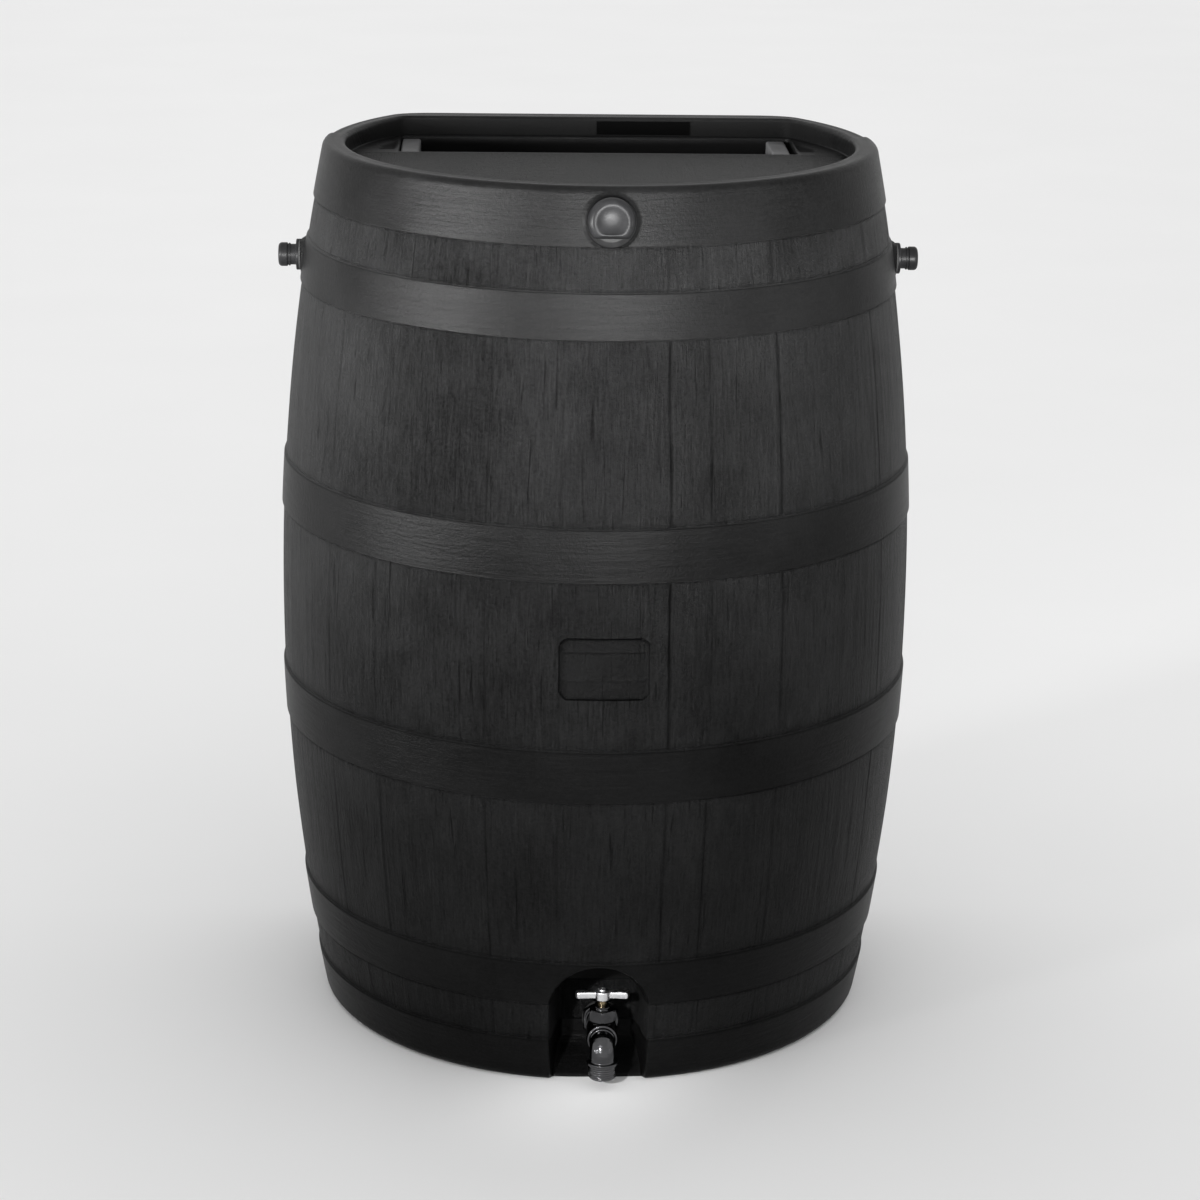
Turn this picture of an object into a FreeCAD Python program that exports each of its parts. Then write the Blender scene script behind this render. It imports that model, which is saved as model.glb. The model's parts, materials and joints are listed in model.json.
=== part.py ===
import FreeCAD, Part

# Flat-backed rain barrel, in millimetres.
# The origin is on the axis of the round body at floor level. +Z is up, the front with its spigot faces -Y
# and the flat back faces +Y, so left is -X and right is +X for a person looking at the front.

import math
import os

import Sketcher
from FreeCAD import Placement, Rotation, Vector

os.makedirs("parts", exist_ok=True)

# ---------------------------------------------------------------------------------------------------------
# Driving dimensions
# ---------------------------------------------------------------------------------------------------------

DIMENSIONS = {
    # Moulded shell: the staves follow one long arc that is widest at the belly.
    "overall_height": 866,
    "belly_radius": 310.6,
    "belly_height": 418,
    "stave_arc_radius": 2192,
    "flat_back": 182,
    "wall": 4.5,
    "base_edge_radius": 8,
    "rim_edge_radius": 6,
    # Moulded hoops stand proud of the staves.
    "hoop_rise": 2,
    "base_band_bottom": 0,
    "base_band_top": 45,
    "foot_hoop_bottom": 86,
    "foot_hoop_top": 130,
    "lower_hoop_bottom": 299,
    "lower_hoop_top": 349,
    "upper_hoop_bottom": 512,
    "upper_hoop_top": 561,
    "shoulder_hoop_bottom": 732,
    "shoulder_hoop_top": 773,
    "rim_hoop_bottom": 814,
    "rim_hoop_top": 866,
    # Recessed deck inside the rim, and the inlet slot with its screen well.
    "deck_height": 845,
    "deck_radius": 245,
    "deck_back": 154,
    "slot_half_length": 195.5,
    "slot_front": 50,
    "slot_back": 149,
    "well_depth": 34,
    "ledge_width": 8,
    # Plaque recess on the belly.
    "plaque_width": 83,
    "plaque_height": 58,
    "plaque_corner": 9,
    "plaque_depth": 3.5,
    "plaque_level": 430,
    # Spigot niche: an arch that widens towards the front, over a ramp that runs out at the base.
    "niche_half_width": 37,
    "niche_spring": 78,
    "niche_back": 222,
    "niche_draft": 9,
    "ramp_height": 25,
    "ramp_foot": 264,
    # Blank label on the wall behind the slot.
    "label_left": 1,
    "label_width": 94,
    "label_margin": 1.5,
    "label_thickness": 1,
    # Spigot: a quarter-turn ball valve with a hose thread.
    "spigot_offset": 4,
    "spigot_height": 46,
    "tail_radius": 13.2,
    "tail_length": 26,
    "chamber_bore": 11.2,
    "flow_bore": 7,
    "ball_radius": 10.5,
    "ball_reach": 40,
    "seat_length": 6,
    "ball_gap": 0.15,
    "retainer_length": 8,
    "spigot_flats": 34,
    "spigot_flange": 6,
    "gasket_thickness": 2,
    "gasket_radius": 18,
    "spigot_nut_flats": 38,
    "spigot_nut_length": 8,
    "chamber_radius": 15,
    "outlet_reach": 62,
    "elbow_radius": 12.5,
    "hose_thread_radius": 13.49,
    "hose_thread_length": 14,
    "outlet_bottom": 12,
    "neck_radius": 9,
    "neck_top": 68,
    "gland_radius": 6.6,
    "gland_floor": 60,
    "stem_radius": 4,
    "running_gap": 0.15,
    "stem_square": 5.4,
    "packing_nut_flats": 24,
    "packing_nut_bottom": 62,
    "packing_nut_top": 74,
    "handle_length": 52,
    "handle_thickness": 8,
    "handle_bottom": 83.5,
    "hub_radius": 7.5,
    "screw_radius": 1.9,
    "screw_head_radius": 3.8,
    # Side nozzles, one on each side of the shoulder hoop.
    "nozzle_height": 752,
    "nozzle_face": 289.6,
    "nozzle_boss_radius": 16,
    "nozzle_boss_length": 12.5,
    "nozzle_tail_radius": 10.2,
    "nozzle_tail_length": 24,
    "nozzle_bore": 7,
    "nozzle_flange_radius": 15,
    "nozzle_flange": 2.5,
    "nozzle_gasket": 1.5,
    "nozzle_neck": 17.3,
    "nozzle_neck_radius": 9.6,
    "nozzle_nut_flats": 27,
    "nozzle_nut_length": 8,
    "cap_radius": 11.5,
    "cap_length": 11.5,
    "cap_end": 2,
    "cap_gap": 0.1,
    # Front overflow port and its plug, on the rim hoop.
    "overflow_offset": 2,
    "overflow_height": 836,
    "overflow_face": 273.5,
    "overflow_boss_radius": 24.5,
    "overflow_boss_length": 8.5,
    "overflow_tail_radius": 15.2,
    "overflow_tail_length": 17,
    "overflow_bore": 12.6,
    "overflow_flange_radius": 23.6,
    "overflow_flange": 2.3,
    "overflow_gasket": 1.2,
    "overflow_nut_flats": 36,
    "overflow_nut_length": 6,
    "plug_head_radius": 21.5,
    "plug_head_length": 18,
    "plug_crown_radius": 17.5,
    "plug_flat": 15,
    "plug_shank_length": 18,
    # Debris screen: a frame with a grille in a rebate and two lift grips.
    "screen_left": 194.5,
    "screen_right": 190.5,
    "screen_gap": 1,
    "rail_width": 8,
    "rail_height": 5,
    "rebate_width": 3,
    "rebate_depth": 1.6,
    "grille_gap": 0.3,
    "grille_thickness": 1.5,
    "grille_bar": 2,
    "grille_columns": 32,
    "grille_rows": 8,
    "grip_width": 18.5,
    "grip_height": 26,
    "grip_wall": 2.5,
    "grip_edge": 2.5,
}

HOOPS = ("base_band", "foot_hoop", "lower_hoop", "upper_hoop", "shoulder_hoop", "rim_hoop")
SIDES = (("left", -1), ("right", 1))

doc = FreeCAD.newDocument("rain_barrel")
sheet = doc.addObject("Spreadsheet::Sheet", "sizes")


class Size:
    """A length that carries its spreadsheet formula together with its present value."""

    def __init__(self, formula, value):
        self.formula = formula
        self.value = value

    def __add__(self, other):
        other = sized(other)
        return Size("(%s + %s)" % (self.formula, other.formula), self.value + other.value)

    def __sub__(self, other):
        other = sized(other)
        return Size("(%s - %s)" % (self.formula, other.formula), self.value - other.value)

    def __mul__(self, other):
        other = sized(other)
        return Size("(%s * %s)" % (self.formula, other.formula), self.value * other.value)

    def __truediv__(self, other):
        other = sized(other)
        return Size("(%s / %s)" % (self.formula, other.formula), self.value / other.value)

    def __neg__(self):
        return Size("(0 - %s)" % self.formula, -self.value)

    def __radd__(self, other):
        return sized(other) + self

    def __rsub__(self, other):
        return sized(other) - self

    def __rmul__(self, other):
        return sized(other) * self


def sized(value):
    """Give a plain number the same form as a size from the sheet."""
    if isinstance(value, Size):
        return value
    return Size("(%.9g)" % value, float(value))


def root(value):
    """Square root of a size."""
    return Size("sqrt(%s)" % value.formula, math.sqrt(value.value))


def fill_sheet():
    """Write every driving dimension to the sheet and return the sizes by name."""
    found = {}
    for row, (alias, value) in enumerate(DIMENSIONS.items(), start=1):
        sheet.set("A%d" % row, alias)
        sheet.set("B%d" % row, str(value))
        sheet.setAlias("B%d" % row, alias)
        found[alias] = Size("sizes.%s" % alias, float(value))
    return found


dim = fill_sheet()
doc.recompute()

# ---------------------------------------------------------------------------------------------------------
# Building helpers
# ---------------------------------------------------------------------------------------------------------

TURNS = {
    "Z": Rotation(),
    "-Z": Rotation(Vector(1, 0, 0), 180),
    "X": Rotation(Vector(0, 1, 0), 90),
    "-X": Rotation(Vector(0, 1, 0), -90),
    "Y": Rotation(Vector(1, 0, 0), -90),
    "-Y": Rotation(Vector(1, 0, 0), 90),
}

# The overflow stands square to the rim hoop, which leans back as the staves do there.
OVERFLOW_RISE = DIMENSIONS["overflow_height"] - DIMENSIONS["belly_height"]
OVERFLOW_LEAN = math.asin(OVERFLOW_RISE / DIMENSIONS["stave_arc_radius"])
TURNS["overflow out"] = Rotation(Vector(1, 0, 0), 90 - math.degrees(OVERFLOW_LEAN))
TURNS["overflow in"] = Rotation(Vector(1, 0, 0), -90 - math.degrees(OVERFLOW_LEAN))

nodes = {}


def bind(item, prop, value):
    """Bind one property to the sheet."""
    item.setExpression(prop, sized(value).formula)


def place(item, at, along="Z"):
    """Put an item's own origin at a point, with its own Z turned to the named direction."""
    item.Placement = Placement(Vector(*(sized(value).value for value in at)), TURNS[along])
    for axis, value in zip("xyz", at):
        bind(item, "Placement.Base." + axis, value)


def cylinder(name, radius, length, at, along="Z"):
    item = doc.addObject("Part::Cylinder", name)
    bind(item, "Radius", radius)
    bind(item, "Height", length)
    place(item, at, along)
    return item


def sphere(name, radius, at):
    item = doc.addObject("Part::Sphere", name)
    bind(item, "Radius", radius)
    place(item, at)
    return item


def box(name, low, high):
    item = doc.addObject("Part::Box", name)
    for prop, start, end in zip(("Length", "Width", "Height"), low, high):
        bind(item, prop, sized(end) - start)
    place(item, low)
    return item


def hexagon(name, flats, length, at, along="Z"):
    item = doc.addObject("Part::Prism", name)
    item.Polygon = 6
    bind(item, "Circumradius", flats / math.sqrt(3))
    bind(item, "Height", length)
    place(item, at, along)
    return item


def fuse(name, shapes):
    item = doc.addObject("Part::MultiFuse", name)
    item.Shapes = shapes
    return item


def common(name, first, second):
    item = doc.addObject("Part::MultiCommon", name)
    item.Shapes = [first, second]
    return item


def cut(name, base, tools):
    """Take one tool or several away from a base."""
    tool = tools[0] if len(tools) == 1 else fuse(name + "_tools", tools)
    item = doc.addObject("Part::Cut", name)
    item.Base = base
    item.Tool = tool
    return item


def keep(item, node):
    """Register a finished sub-part under its node name."""
    item.Label = node
    nodes[node] = item
    return item


def body_plane(body, role):
    return next(feature for feature in body.Origin.OriginFeatures if feature.Role == role)


def new_body(name, at=(0, 0, 0), along="Z"):
    body = doc.addObject("PartDesign::Body", name)
    place(body, at, along)
    return body


def arc_between(start, end, radius):
    """Arc from start to end: it bulges to the right of travel, or to the left if the radius is negative."""
    chord = end - start
    middle = (start + end) * 0.5
    sideways = Vector(-chord.y, chord.x, 0).normalize()
    reach = math.sqrt(radius ** 2 - (chord.Length / 2) ** 2)
    centre = middle + sideways * (reach if radius > 0 else -reach)
    first, last = (start, end) if radius > 0 else (end, start)
    angles = [math.atan2(point.y - centre.y, point.x - centre.x) for point in (first, last)]
    circle = Part.Circle(centre, Vector(0, 0, 1), abs(radius))
    return Part.ArcOfCircle(circle, *angles)


def draw(sketch, outline):
    """Add a closed outline, drawn anticlockwise, whose corners are all bound to the sheet.

    Each entry is (x, y), or (x, y, radius) where the edge that leaves the corner is an arc.
    """
    corners = [[sized(value) for value in entry] for entry in outline]
    points = [Vector(corner[0].value, corner[1].value, 0) for corner in corners]
    first = sketch.GeometryCount
    ends = []
    for index, corner in enumerate(corners):
        start, end = points[index], points[(index + 1) % len(points)]
        if len(corner) == 2:
            sketch.addGeometry(Part.LineSegment(start, end), False)
            ends.append((1, 2))
        else:
            sketch.addGeometry(arc_between(start, end, corner[2].value), False)
            ends.append((1, 2) if corner[2].value > 0 else (2, 1))
    for index, corner in enumerate(corners):
        edge = first + index
        follow = (index + 1) % len(corners)
        joined = (edge, ends[index][1], first + follow, ends[follow][0])
        sketch.addConstraint(Sketcher.Constraint("Coincident", *joined))
        for kind, value in zip(("DistanceX", "DistanceY"), corner):
            number = sketch.addConstraint(Sketcher.Constraint(kind, edge, ends[index][0], value.value))
            bind(sketch, "Constraints[%d]" % number, value)
        if len(corner) == 3:
            radius = corner[2] if corner[2].value > 0 else -corner[2]
            number = sketch.addConstraint(Sketcher.Constraint("Radius", edge, radius.value))
            bind(sketch, "Constraints[%d]" % number, radius)


def new_sketch(body, outlines, role, offset=None):
    """Sketch closed outlines on one of the body's own planes, or parallel to it at an offset."""
    sketch = body.newObject("Sketcher::SketchObject", body.Name + "_sketch")
    sketch.AttachmentSupport = [(body_plane(body, role), "")]
    sketch.MapMode = "FlatFace"
    if offset is not None:
        bind(sketch, "AttachmentOffset.Base.z", offset)
    for outline in outlines:
        draw(sketch, outline)
    return sketch


def turned(name, outlines, at=(0, 0, 0), along="Z"):
    """Body of revolution: outlines of (radius, height) points are turned about the body's own Z."""
    body = new_body(name, at, along)
    sketch = new_sketch(body, outlines, "XZ_Plane")
    feature = body.newObject("PartDesign::Revolution", name + "_turn")
    feature.Profile = sketch
    feature.ReferenceAxis = (sketch, ["V_Axis"])
    feature.Angle = 360
    return body


def pad(body, outlines, length, role="XY_Plane", offset=None):
    sketch = new_sketch(body, outlines, role, offset)
    feature = body.newObject("PartDesign::Pad", body.Name + "_pad")
    feature.Profile = sketch
    bind(feature, "Length", length)
    return feature


def pocket(body, outlines, depth, offset, role="XY_Plane"):
    """Cut outlines downwards from a plane above the body's own XY plane."""
    sketch = new_sketch(body, outlines, role, offset)
    feature = body.newObject("PartDesign::Pocket", body.Name + "_pocket")
    feature.Profile = sketch
    bind(feature, "Length", depth)
    return feature


def round_edges(feature, radius, chosen):
    """Fillet the edges of a body's feature for which chosen(edge) is true."""
    doc.recompute()
    edges = ["Edge%d" % number for number, edge in enumerate(feature.Shape.Edges, start=1) if chosen(edge)]
    rounding = feature.getParentGeoFeatureGroup().newObject("PartDesign::Fillet", feature.Name + "_rounding")
    rounding.Base = (feature, edges)
    bind(rounding, "Radius", radius)


def rectangle(left, bottom, right, top):
    return [(left, bottom), (right, bottom), (right, top), (left, top)]


def rounded_rectangle(width, height, corner):
    """Rectangle about the origin with rounded corners."""
    x, y = width / 2, height / 2
    return [(corner - x, -y), (x - corner, -y, corner), (x, corner - y), (x, y - corner, corner),
            (x - corner, y), (corner - x, y, corner), (-x, y - corner), (-x, corner - y, corner)]


def hexagon_outline(flats):
    """Six corners about the origin, two of them on the X axis."""
    reach = flats / math.sqrt(3)
    return [(reach * math.cos(math.radians(60 * corner)), reach * math.sin(math.radians(60 * corner)))
            for corner in range(6)]


def circle_outline(radius):
    """Full circle as four quarter arcs."""
    return [(radius, 0, radius), (0, radius, radius), (-radius, 0, radius), (0, -radius, radius)]


def ring(name, inner, outer, length, at, along="Z"):
    """Flat washer or gasket that starts at a point and runs along a direction."""
    return turned(name, [rectangle(inner, 0, outer, length)], at, along)


def nut(name, flats, bore, length, at, along="Z"):
    """Hexagonal nut: a padded hexagon with a round hole."""
    body = new_body(name, at, along)
    pad(body, [hexagon_outline(flats), circle_outline(bore)], length)
    return body


# ---------------------------------------------------------------------------------------------------------
# Barrel shell
# ---------------------------------------------------------------------------------------------------------

WIDE = 400          # half-width of helper blocks that reach past the whole barrel
ABOVE = 40          # how far cutting blocks reach past a face


def stave_radius(height, rise=0):
    """Radius of the stave surface at a height, or of a surface parallel to it."""
    arc = dim["stave_arc_radius"] + rise
    level = sized(height) - dim["belly_height"]
    return dim["belly_radius"] - dim["stave_arc_radius"] + root(arc * arc - level * level)


def barrel_form(name, rise, bottom, top, bottom_edge, top_edge):
    """Solid barrel between two levels whose side is parallel to the staves, with rounded edges."""
    low = stave_radius(bottom + bottom_edge, rise)
    high = stave_radius(top - top_edge, rise)
    outline = [(0, bottom), (low - bottom_edge, bottom, bottom_edge),
               (low, bottom + bottom_edge, dim["stave_arc_radius"] + rise),
               (high, top - top_edge, top_edge), (high - top_edge, top), (0, top)]
    return turned(name, [outline])


def make_outside():
    """Outer form: staves, proud hoops and the flat back."""
    top, base_edge, rim_edge = dim["overall_height"], dim["base_edge_radius"], dim["rim_edge_radius"]
    staves = barrel_form("stave_form", 0, sized(0), top, base_edge, rim_edge)
    hoop_form = barrel_form("hoop_form", dim["hoop_rise"], sized(0), top, base_edge, rim_edge)
    bands = [box(hoop + "_slab", (-WIDE, -WIDE, dim[hoop + "_bottom"]), (WIDE, WIDE, dim[hoop + "_top"]))
             for hoop in HOOPS]
    hoops = common("hoops", hoop_form, fuse("hoop_slabs", bands))
    front_block = box("front_block", (-WIDE, -WIDE, -ABOVE), (WIDE, dim["flat_back"], top + ABOVE))
    return common("outside", fuse("round_outside", [staves, hoops, *wall_bosses("outside")]), front_block)


def wall_bosses(use):
    """Flat pads in the wall where the fittings clamp."""
    bosses = [cylinder("overflow_boss_" + use, dim["overflow_boss_radius"], dim["overflow_boss_length"],
                       overflow_at(-dim["overflow_boss_length"]), "overflow out")]
    for side, sign in SIDES:
        start = sign * (dim["nozzle_face"] - dim["nozzle_boss_length"])
        bosses.append(cylinder("%s_boss_%s" % (side, use), dim["nozzle_boss_radius"],
                               dim["nozzle_boss_length"], (start, 0, dim["nozzle_height"]), outward(sign)))
    return bosses


def outward(sign):
    """Direction away from the barrel on the left (-1) or the right (+1)."""
    return "X" if sign > 0 else "-X"


def overflow_at(reach):
    """Point on the overflow's axis, at a distance in front of its boss face."""
    return (dim["overflow_offset"], -dim["overflow_face"] - reach * math.cos(OVERFLOW_LEAN),
            dim["overflow_height"] + reach * math.sin(OVERFLOW_LEAN))


def deck_recess(name, growth):
    """Space inside the rim and above the deck, or that space grown by a wall thickness."""
    disc = cylinder(name + "_disc", dim["deck_radius"] + growth, ABOVE + dim["wall"],
                    (0, 0, dim["deck_height"] - growth))
    front = box(name + "_front", (-WIDE, -WIDE, dim["deck_height"] - 2 * ABOVE),
                (WIDE, dim["deck_back"] + growth, dim["overall_height"] + ABOVE))
    return common(name, disc, front)


def slot_block(name, growth, bottom, top):
    """Upright block over the inlet slot, grown or shrunk all round."""
    half = dim["slot_half_length"] + growth
    return box(name, (-half, dim["slot_front"] - growth, bottom), (half, dim["slot_back"] + growth, top))


def niche_form(name, growth):
    """Arch that widens towards the front, or the same grown by a wall thickness."""
    half = dim["niche_half_width"] + growth
    spring = dim["niche_spring"]
    outline = [(-half, -ABOVE), (half, -ABOVE), (half, spring, half), (0, spring + half, half),
               (-half, spring)]
    body = new_body(name, (0, growth - dim["niche_back"], 0))
    feature = pad(body, [outline], 4 * ABOVE, role="XZ_Plane")
    bind(feature, "TaperAngle", dim["niche_draft"])
    return body


def ramp_block():
    """Solid under the ramp at the foot of the niche, as a prism along X."""
    body = new_body("ramp", (-WIDE / 4, 0, 0))
    foot, back, top = -dim["ramp_foot"], -dim["niche_back"], dim["ramp_height"]
    outline = [(foot, 0), (foot, -2 * ABOVE), (dim["wall"] + back, -2 * ABOVE), (dim["wall"] + back, top),
               (back, top)]
    pad(body, [outline], sized(WIDE / 2), role="YZ_Plane")
    return body


def plaque_recess():
    """Shallow rounded rectangle that follows the curve of the belly."""
    body = new_body("plaque_outline", (0, -dim["belly_radius"] + ABOVE, dim["plaque_level"]))
    outline = rounded_rectangle(dim["plaque_width"], dim["plaque_height"], dim["plaque_corner"])
    pad(body, [outline], 2 * ABOVE, role="XZ_Plane")
    core = cylinder("plaque_core", dim["belly_radius"] - dim["plaque_depth"],
                    dim["overall_height"], (0, 0, 0))
    return cut("plaque_recess", body, [core])


def plaque_backing():
    """Extra thickness behind the plaque recess."""
    half_width = dim["plaque_width"] / 2 + dim["wall"]
    half_height = dim["plaque_height"] / 2 + dim["wall"]
    level = dim["plaque_level"]
    block = box("plaque_block", (-half_width, -WIDE, level - half_height),
                (half_width, 0, level + half_height))
    core = cylinder("plaque_backing_core", dim["belly_radius"] - dim["plaque_depth"] - dim["wall"],
                    dim["overall_height"], (0, 0, 0))
    return cut("plaque_backing", block, [core])


def make_cavity():
    """Water space: the outside shrunk by the wall, less everything that stands into it."""
    wall = dim["wall"]
    form = barrel_form("cavity_form", -wall, wall, dim["overall_height"] - wall, sized(4), sized(3))
    front = box("cavity_front", (-WIDE, -WIDE, -ABOVE),
                (WIDE, dim["flat_back"] - wall, dim["overall_height"] + ABOVE))
    well_bottom = dim["deck_height"] - dim["well_depth"] - wall
    solids = [deck_recess("deck_underside", wall),
              slot_block("well_outside", wall, well_bottom, dim["deck_height"]),
              niche_form("niche_outside", wall), plaque_backing(), *wall_bosses("inside")]
    return cut("cavity", common("cavity_blank", form, front), solids)


def wall_holes():
    """Round holes for the spigot, the overflow and the two nozzles."""
    gap = dim["running_gap"]
    holes = [cylinder("spigot_hole", dim["tail_radius"] + gap, 2 * ABOVE,
                      (dim["spigot_offset"], ABOVE - dim["niche_back"], dim["spigot_height"]), "-Y"),
             cylinder("overflow_hole", dim["overflow_tail_radius"] + gap, ABOVE / 2,
                      overflow_at(-dim["overflow_boss_length"] - 2), "overflow out")]
    for side, sign in SIDES:
        start = sign * (dim["nozzle_face"] - ABOVE)
        holes.append(cylinder(side + "_nozzle_hole", dim["nozzle_tail_radius"] + gap, 2 * ABOVE,
                              (start, 0, dim["nozzle_height"]), outward(sign)))
    return holes


def make_shell():
    well_floor = dim["deck_height"] - dim["well_depth"]
    niche = cut("niche", niche_form("niche_inside", 0), [ramp_block()])
    cuts = [make_cavity(), deck_recess("deck_space", 0), niche, plaque_recess(),
            slot_block("well", 0, well_floor, dim["deck_height"] + ABOVE),
            slot_block("well_mouth", -dim["ledge_width"], well_floor - ABOVE, well_floor + ABOVE / 2),
            *wall_holes()]
    keep(cut("barrel_shell", make_outside(), cuts), "barrel_shell")


def make_label():
    """Blank plate on the wall behind the slot."""
    left, margin = dim["label_left"], dim["label_margin"]
    low = (left, dim["deck_back"] - dim["label_thickness"], dim["deck_height"] + margin)
    high = (left + dim["label_width"], dim["deck_back"], dim["overall_height"] - dim["rim_edge_radius"])
    keep(box("label_plate", low, high), "label_plate")


# ---------------------------------------------------------------------------------------------------------
# Spigot: positions forward of the niche wall are measured along -Y
# ---------------------------------------------------------------------------------------------------------

def forward(reach):
    """Point on the spigot's flow axis, at a distance in front of the niche wall."""
    return (dim["spigot_offset"], -dim["niche_back"] - reach, dim["spigot_height"])


def above_ball(height):
    """Point on the stem axis at a height over the floor."""
    return (dim["spigot_offset"], -dim["niche_back"] - dim["ball_reach"], height)


def make_spigot_body():
    """Cast body: tail, hexagon, ball chamber, elbow, hose-thread outlet and stem neck."""
    gasket, flange, reach = dim["gasket_thickness"], dim["spigot_flange"], dim["ball_reach"]
    flow_end = dim["outlet_reach"]
    chamber_length, chamber_start = 2 * dim["ball_radius"] + 6, reach - 14
    neck_foot_radius, neck_foot_height = dim["neck_radius"] + 2.5, 15
    corner = forward(flow_end)
    thread_top = dim["outlet_bottom"] + dim["hose_thread_length"]
    outlet = (corner[0], corner[1], dim["outlet_bottom"])
    solids = [
        cylinder("tail", dim["tail_radius"], dim["tail_length"] + gasket, forward(-dim["tail_length"]), "-Y"),
        hexagon("body_hexagon", dim["spigot_flats"], flange, forward(gasket), "-Y"),
        cylinder("body_waist", dim["chamber_radius"] - 1.5, reach - flange, forward(gasket + flange), "-Y"),
        cylinder("chamber", dim["chamber_radius"], chamber_length, forward(chamber_start), "-Y"),
        cylinder("elbow_arm", dim["elbow_radius"], flow_end - reach, forward(reach), "-Y"),
        sphere("elbow_corner", dim["elbow_radius"], corner),
        cylinder("outlet_arm", dim["elbow_radius"] - 0.5, dim["spigot_height"] - dim["outlet_bottom"],
                 outlet),
        cylinder("outlet_collar", dim["hose_thread_radius"] + 1.6, 3, (corner[0], corner[1], thread_top)),
        cylinder("hose_thread", dim["hose_thread_radius"], dim["hose_thread_length"], outlet),
        cylinder("neck", dim["neck_radius"], dim["neck_top"] - dim["spigot_height"], forward_up()),
        cylinder("neck_base", neck_foot_radius, neck_foot_height, forward_up()),
    ]
    chamber_end = reach + dim["ball_radius"] + 1.5
    bores = [
        cylinder("chamber_bore_space", dim["chamber_bore"], dim["tail_length"] + chamber_end,
                 forward(-dim["tail_length"]), "-Y"),
        cylinder("flow_space", dim["flow_bore"], flow_end - reach, forward(reach), "-Y"),
        sphere("flow_corner", dim["flow_bore"], corner),
        cylinder("outlet_space", dim["flow_bore"], dim["spigot_height"], (corner[0], corner[1], 0)),
        cylinder("stem_space", dim["stem_radius"] + dim["running_gap"], ABOVE,
                 above_ball(dim["spigot_height"])),
        cylinder("gland_space", dim["gland_radius"], ABOVE, above_ball(dim["gland_floor"])),
    ]
    keep(cut("spigot_body", fuse("spigot_casting", solids), bores), "spigot_body")


def forward_up():
    """Foot of the stem neck, on the flow axis."""
    return forward(dim["ball_reach"])


def make_spigot_seal_stack():
    """Seats, retainer and ball, in line along the chamber."""
    reach, seat, fit = dim["ball_reach"], dim["seat_length"], dim["running_gap"]
    far = reach + dim["ball_radius"] + 1.5
    near = reach - dim["ball_radius"] - 1.5
    for name, start in (("outlet_ball_seat", far - seat), ("inlet_ball_seat", near)):
        blank = ring(name + "_ring", dim["flow_bore"], dim["chamber_bore"] - fit, seat, forward(start), "-Y")
        hollow = sphere(name + "_hollow", dim["ball_radius"] + dim["ball_gap"], forward(reach))
        keep(cut(name, blank, [hollow]), name)
    retainer_start = near - dim["retainer_length"]
    keep(ring("ball_retainer", dim["flow_bore"] + 0.5, dim["chamber_bore"] - fit, dim["retainer_length"],
              forward(retainer_start), "-Y"), "ball_retainer")


def make_ball():
    """Closed at rest: the bore lies across the flow, along X. The drive slot is in the top."""
    ball = sphere("ball_blank", dim["ball_radius"], forward(dim["ball_reach"]))
    start = forward(dim["ball_reach"])
    bore = cylinder("ball_bore", dim["flow_bore"] - 0.5, 2 * ABOVE,
                    (start[0] - ABOVE, start[1], start[2]), "X")
    top = dim["spigot_height"] + dim["ball_radius"]
    half_slot, slot_depth = 1.6, 3
    slot = box("drive_slot", (start[0] - ABOVE, start[1] - half_slot, top - slot_depth),
               (start[0] + ABOVE, start[1] + half_slot, top + slot_depth))
    keep(cut("spigot_ball", ball, [bore, slot]), "spigot_ball")


def make_stem():
    """Stem with a tang in the ball's slot, a shoulder in the gland and a square under the handle."""
    ball_top = dim["spigot_height"] + dim["ball_radius"]
    tang_half, tang_thickness, tang_depth = dim["stem_radius"] - 0.1, 3, 2.9
    centre = above_ball(ball_top)
    tang = box("stem_tang", (centre[0] - tang_half, centre[1] - tang_thickness / 2, ball_top - tang_depth),
               (centre[0] + tang_half, centre[1] + tang_thickness / 2, ball_top + 1))
    shoulder_top = dim["gland_floor"] + 3
    square = dim["stem_square"] / 2
    shaft_top = dim["handle_bottom"] - 1
    solids = [
        tang,
        cylinder("stem_shaft", dim["stem_radius"], shaft_top - ball_top - 0.8, above_ball(ball_top + 0.8)),
        cylinder("stem_shoulder", dim["gland_radius"] - 0.3, shoulder_top - dim["gland_floor"] - 1,
                 above_ball(dim["gland_floor"] + 1)),
        box("stem_square_end", (centre[0] - square, centre[1] - square, shaft_top - 1),
            (centre[0] + square, centre[1] + square, shaft_top + 7.5)),
    ]
    tapping = cylinder("stem_tapping", dim["screw_radius"] + 0.1, ABOVE, above_ball(shaft_top - 2))
    keep(cut("spigot_stem", fuse("stem_blank", solids), [tapping]), "spigot_stem")


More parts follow.
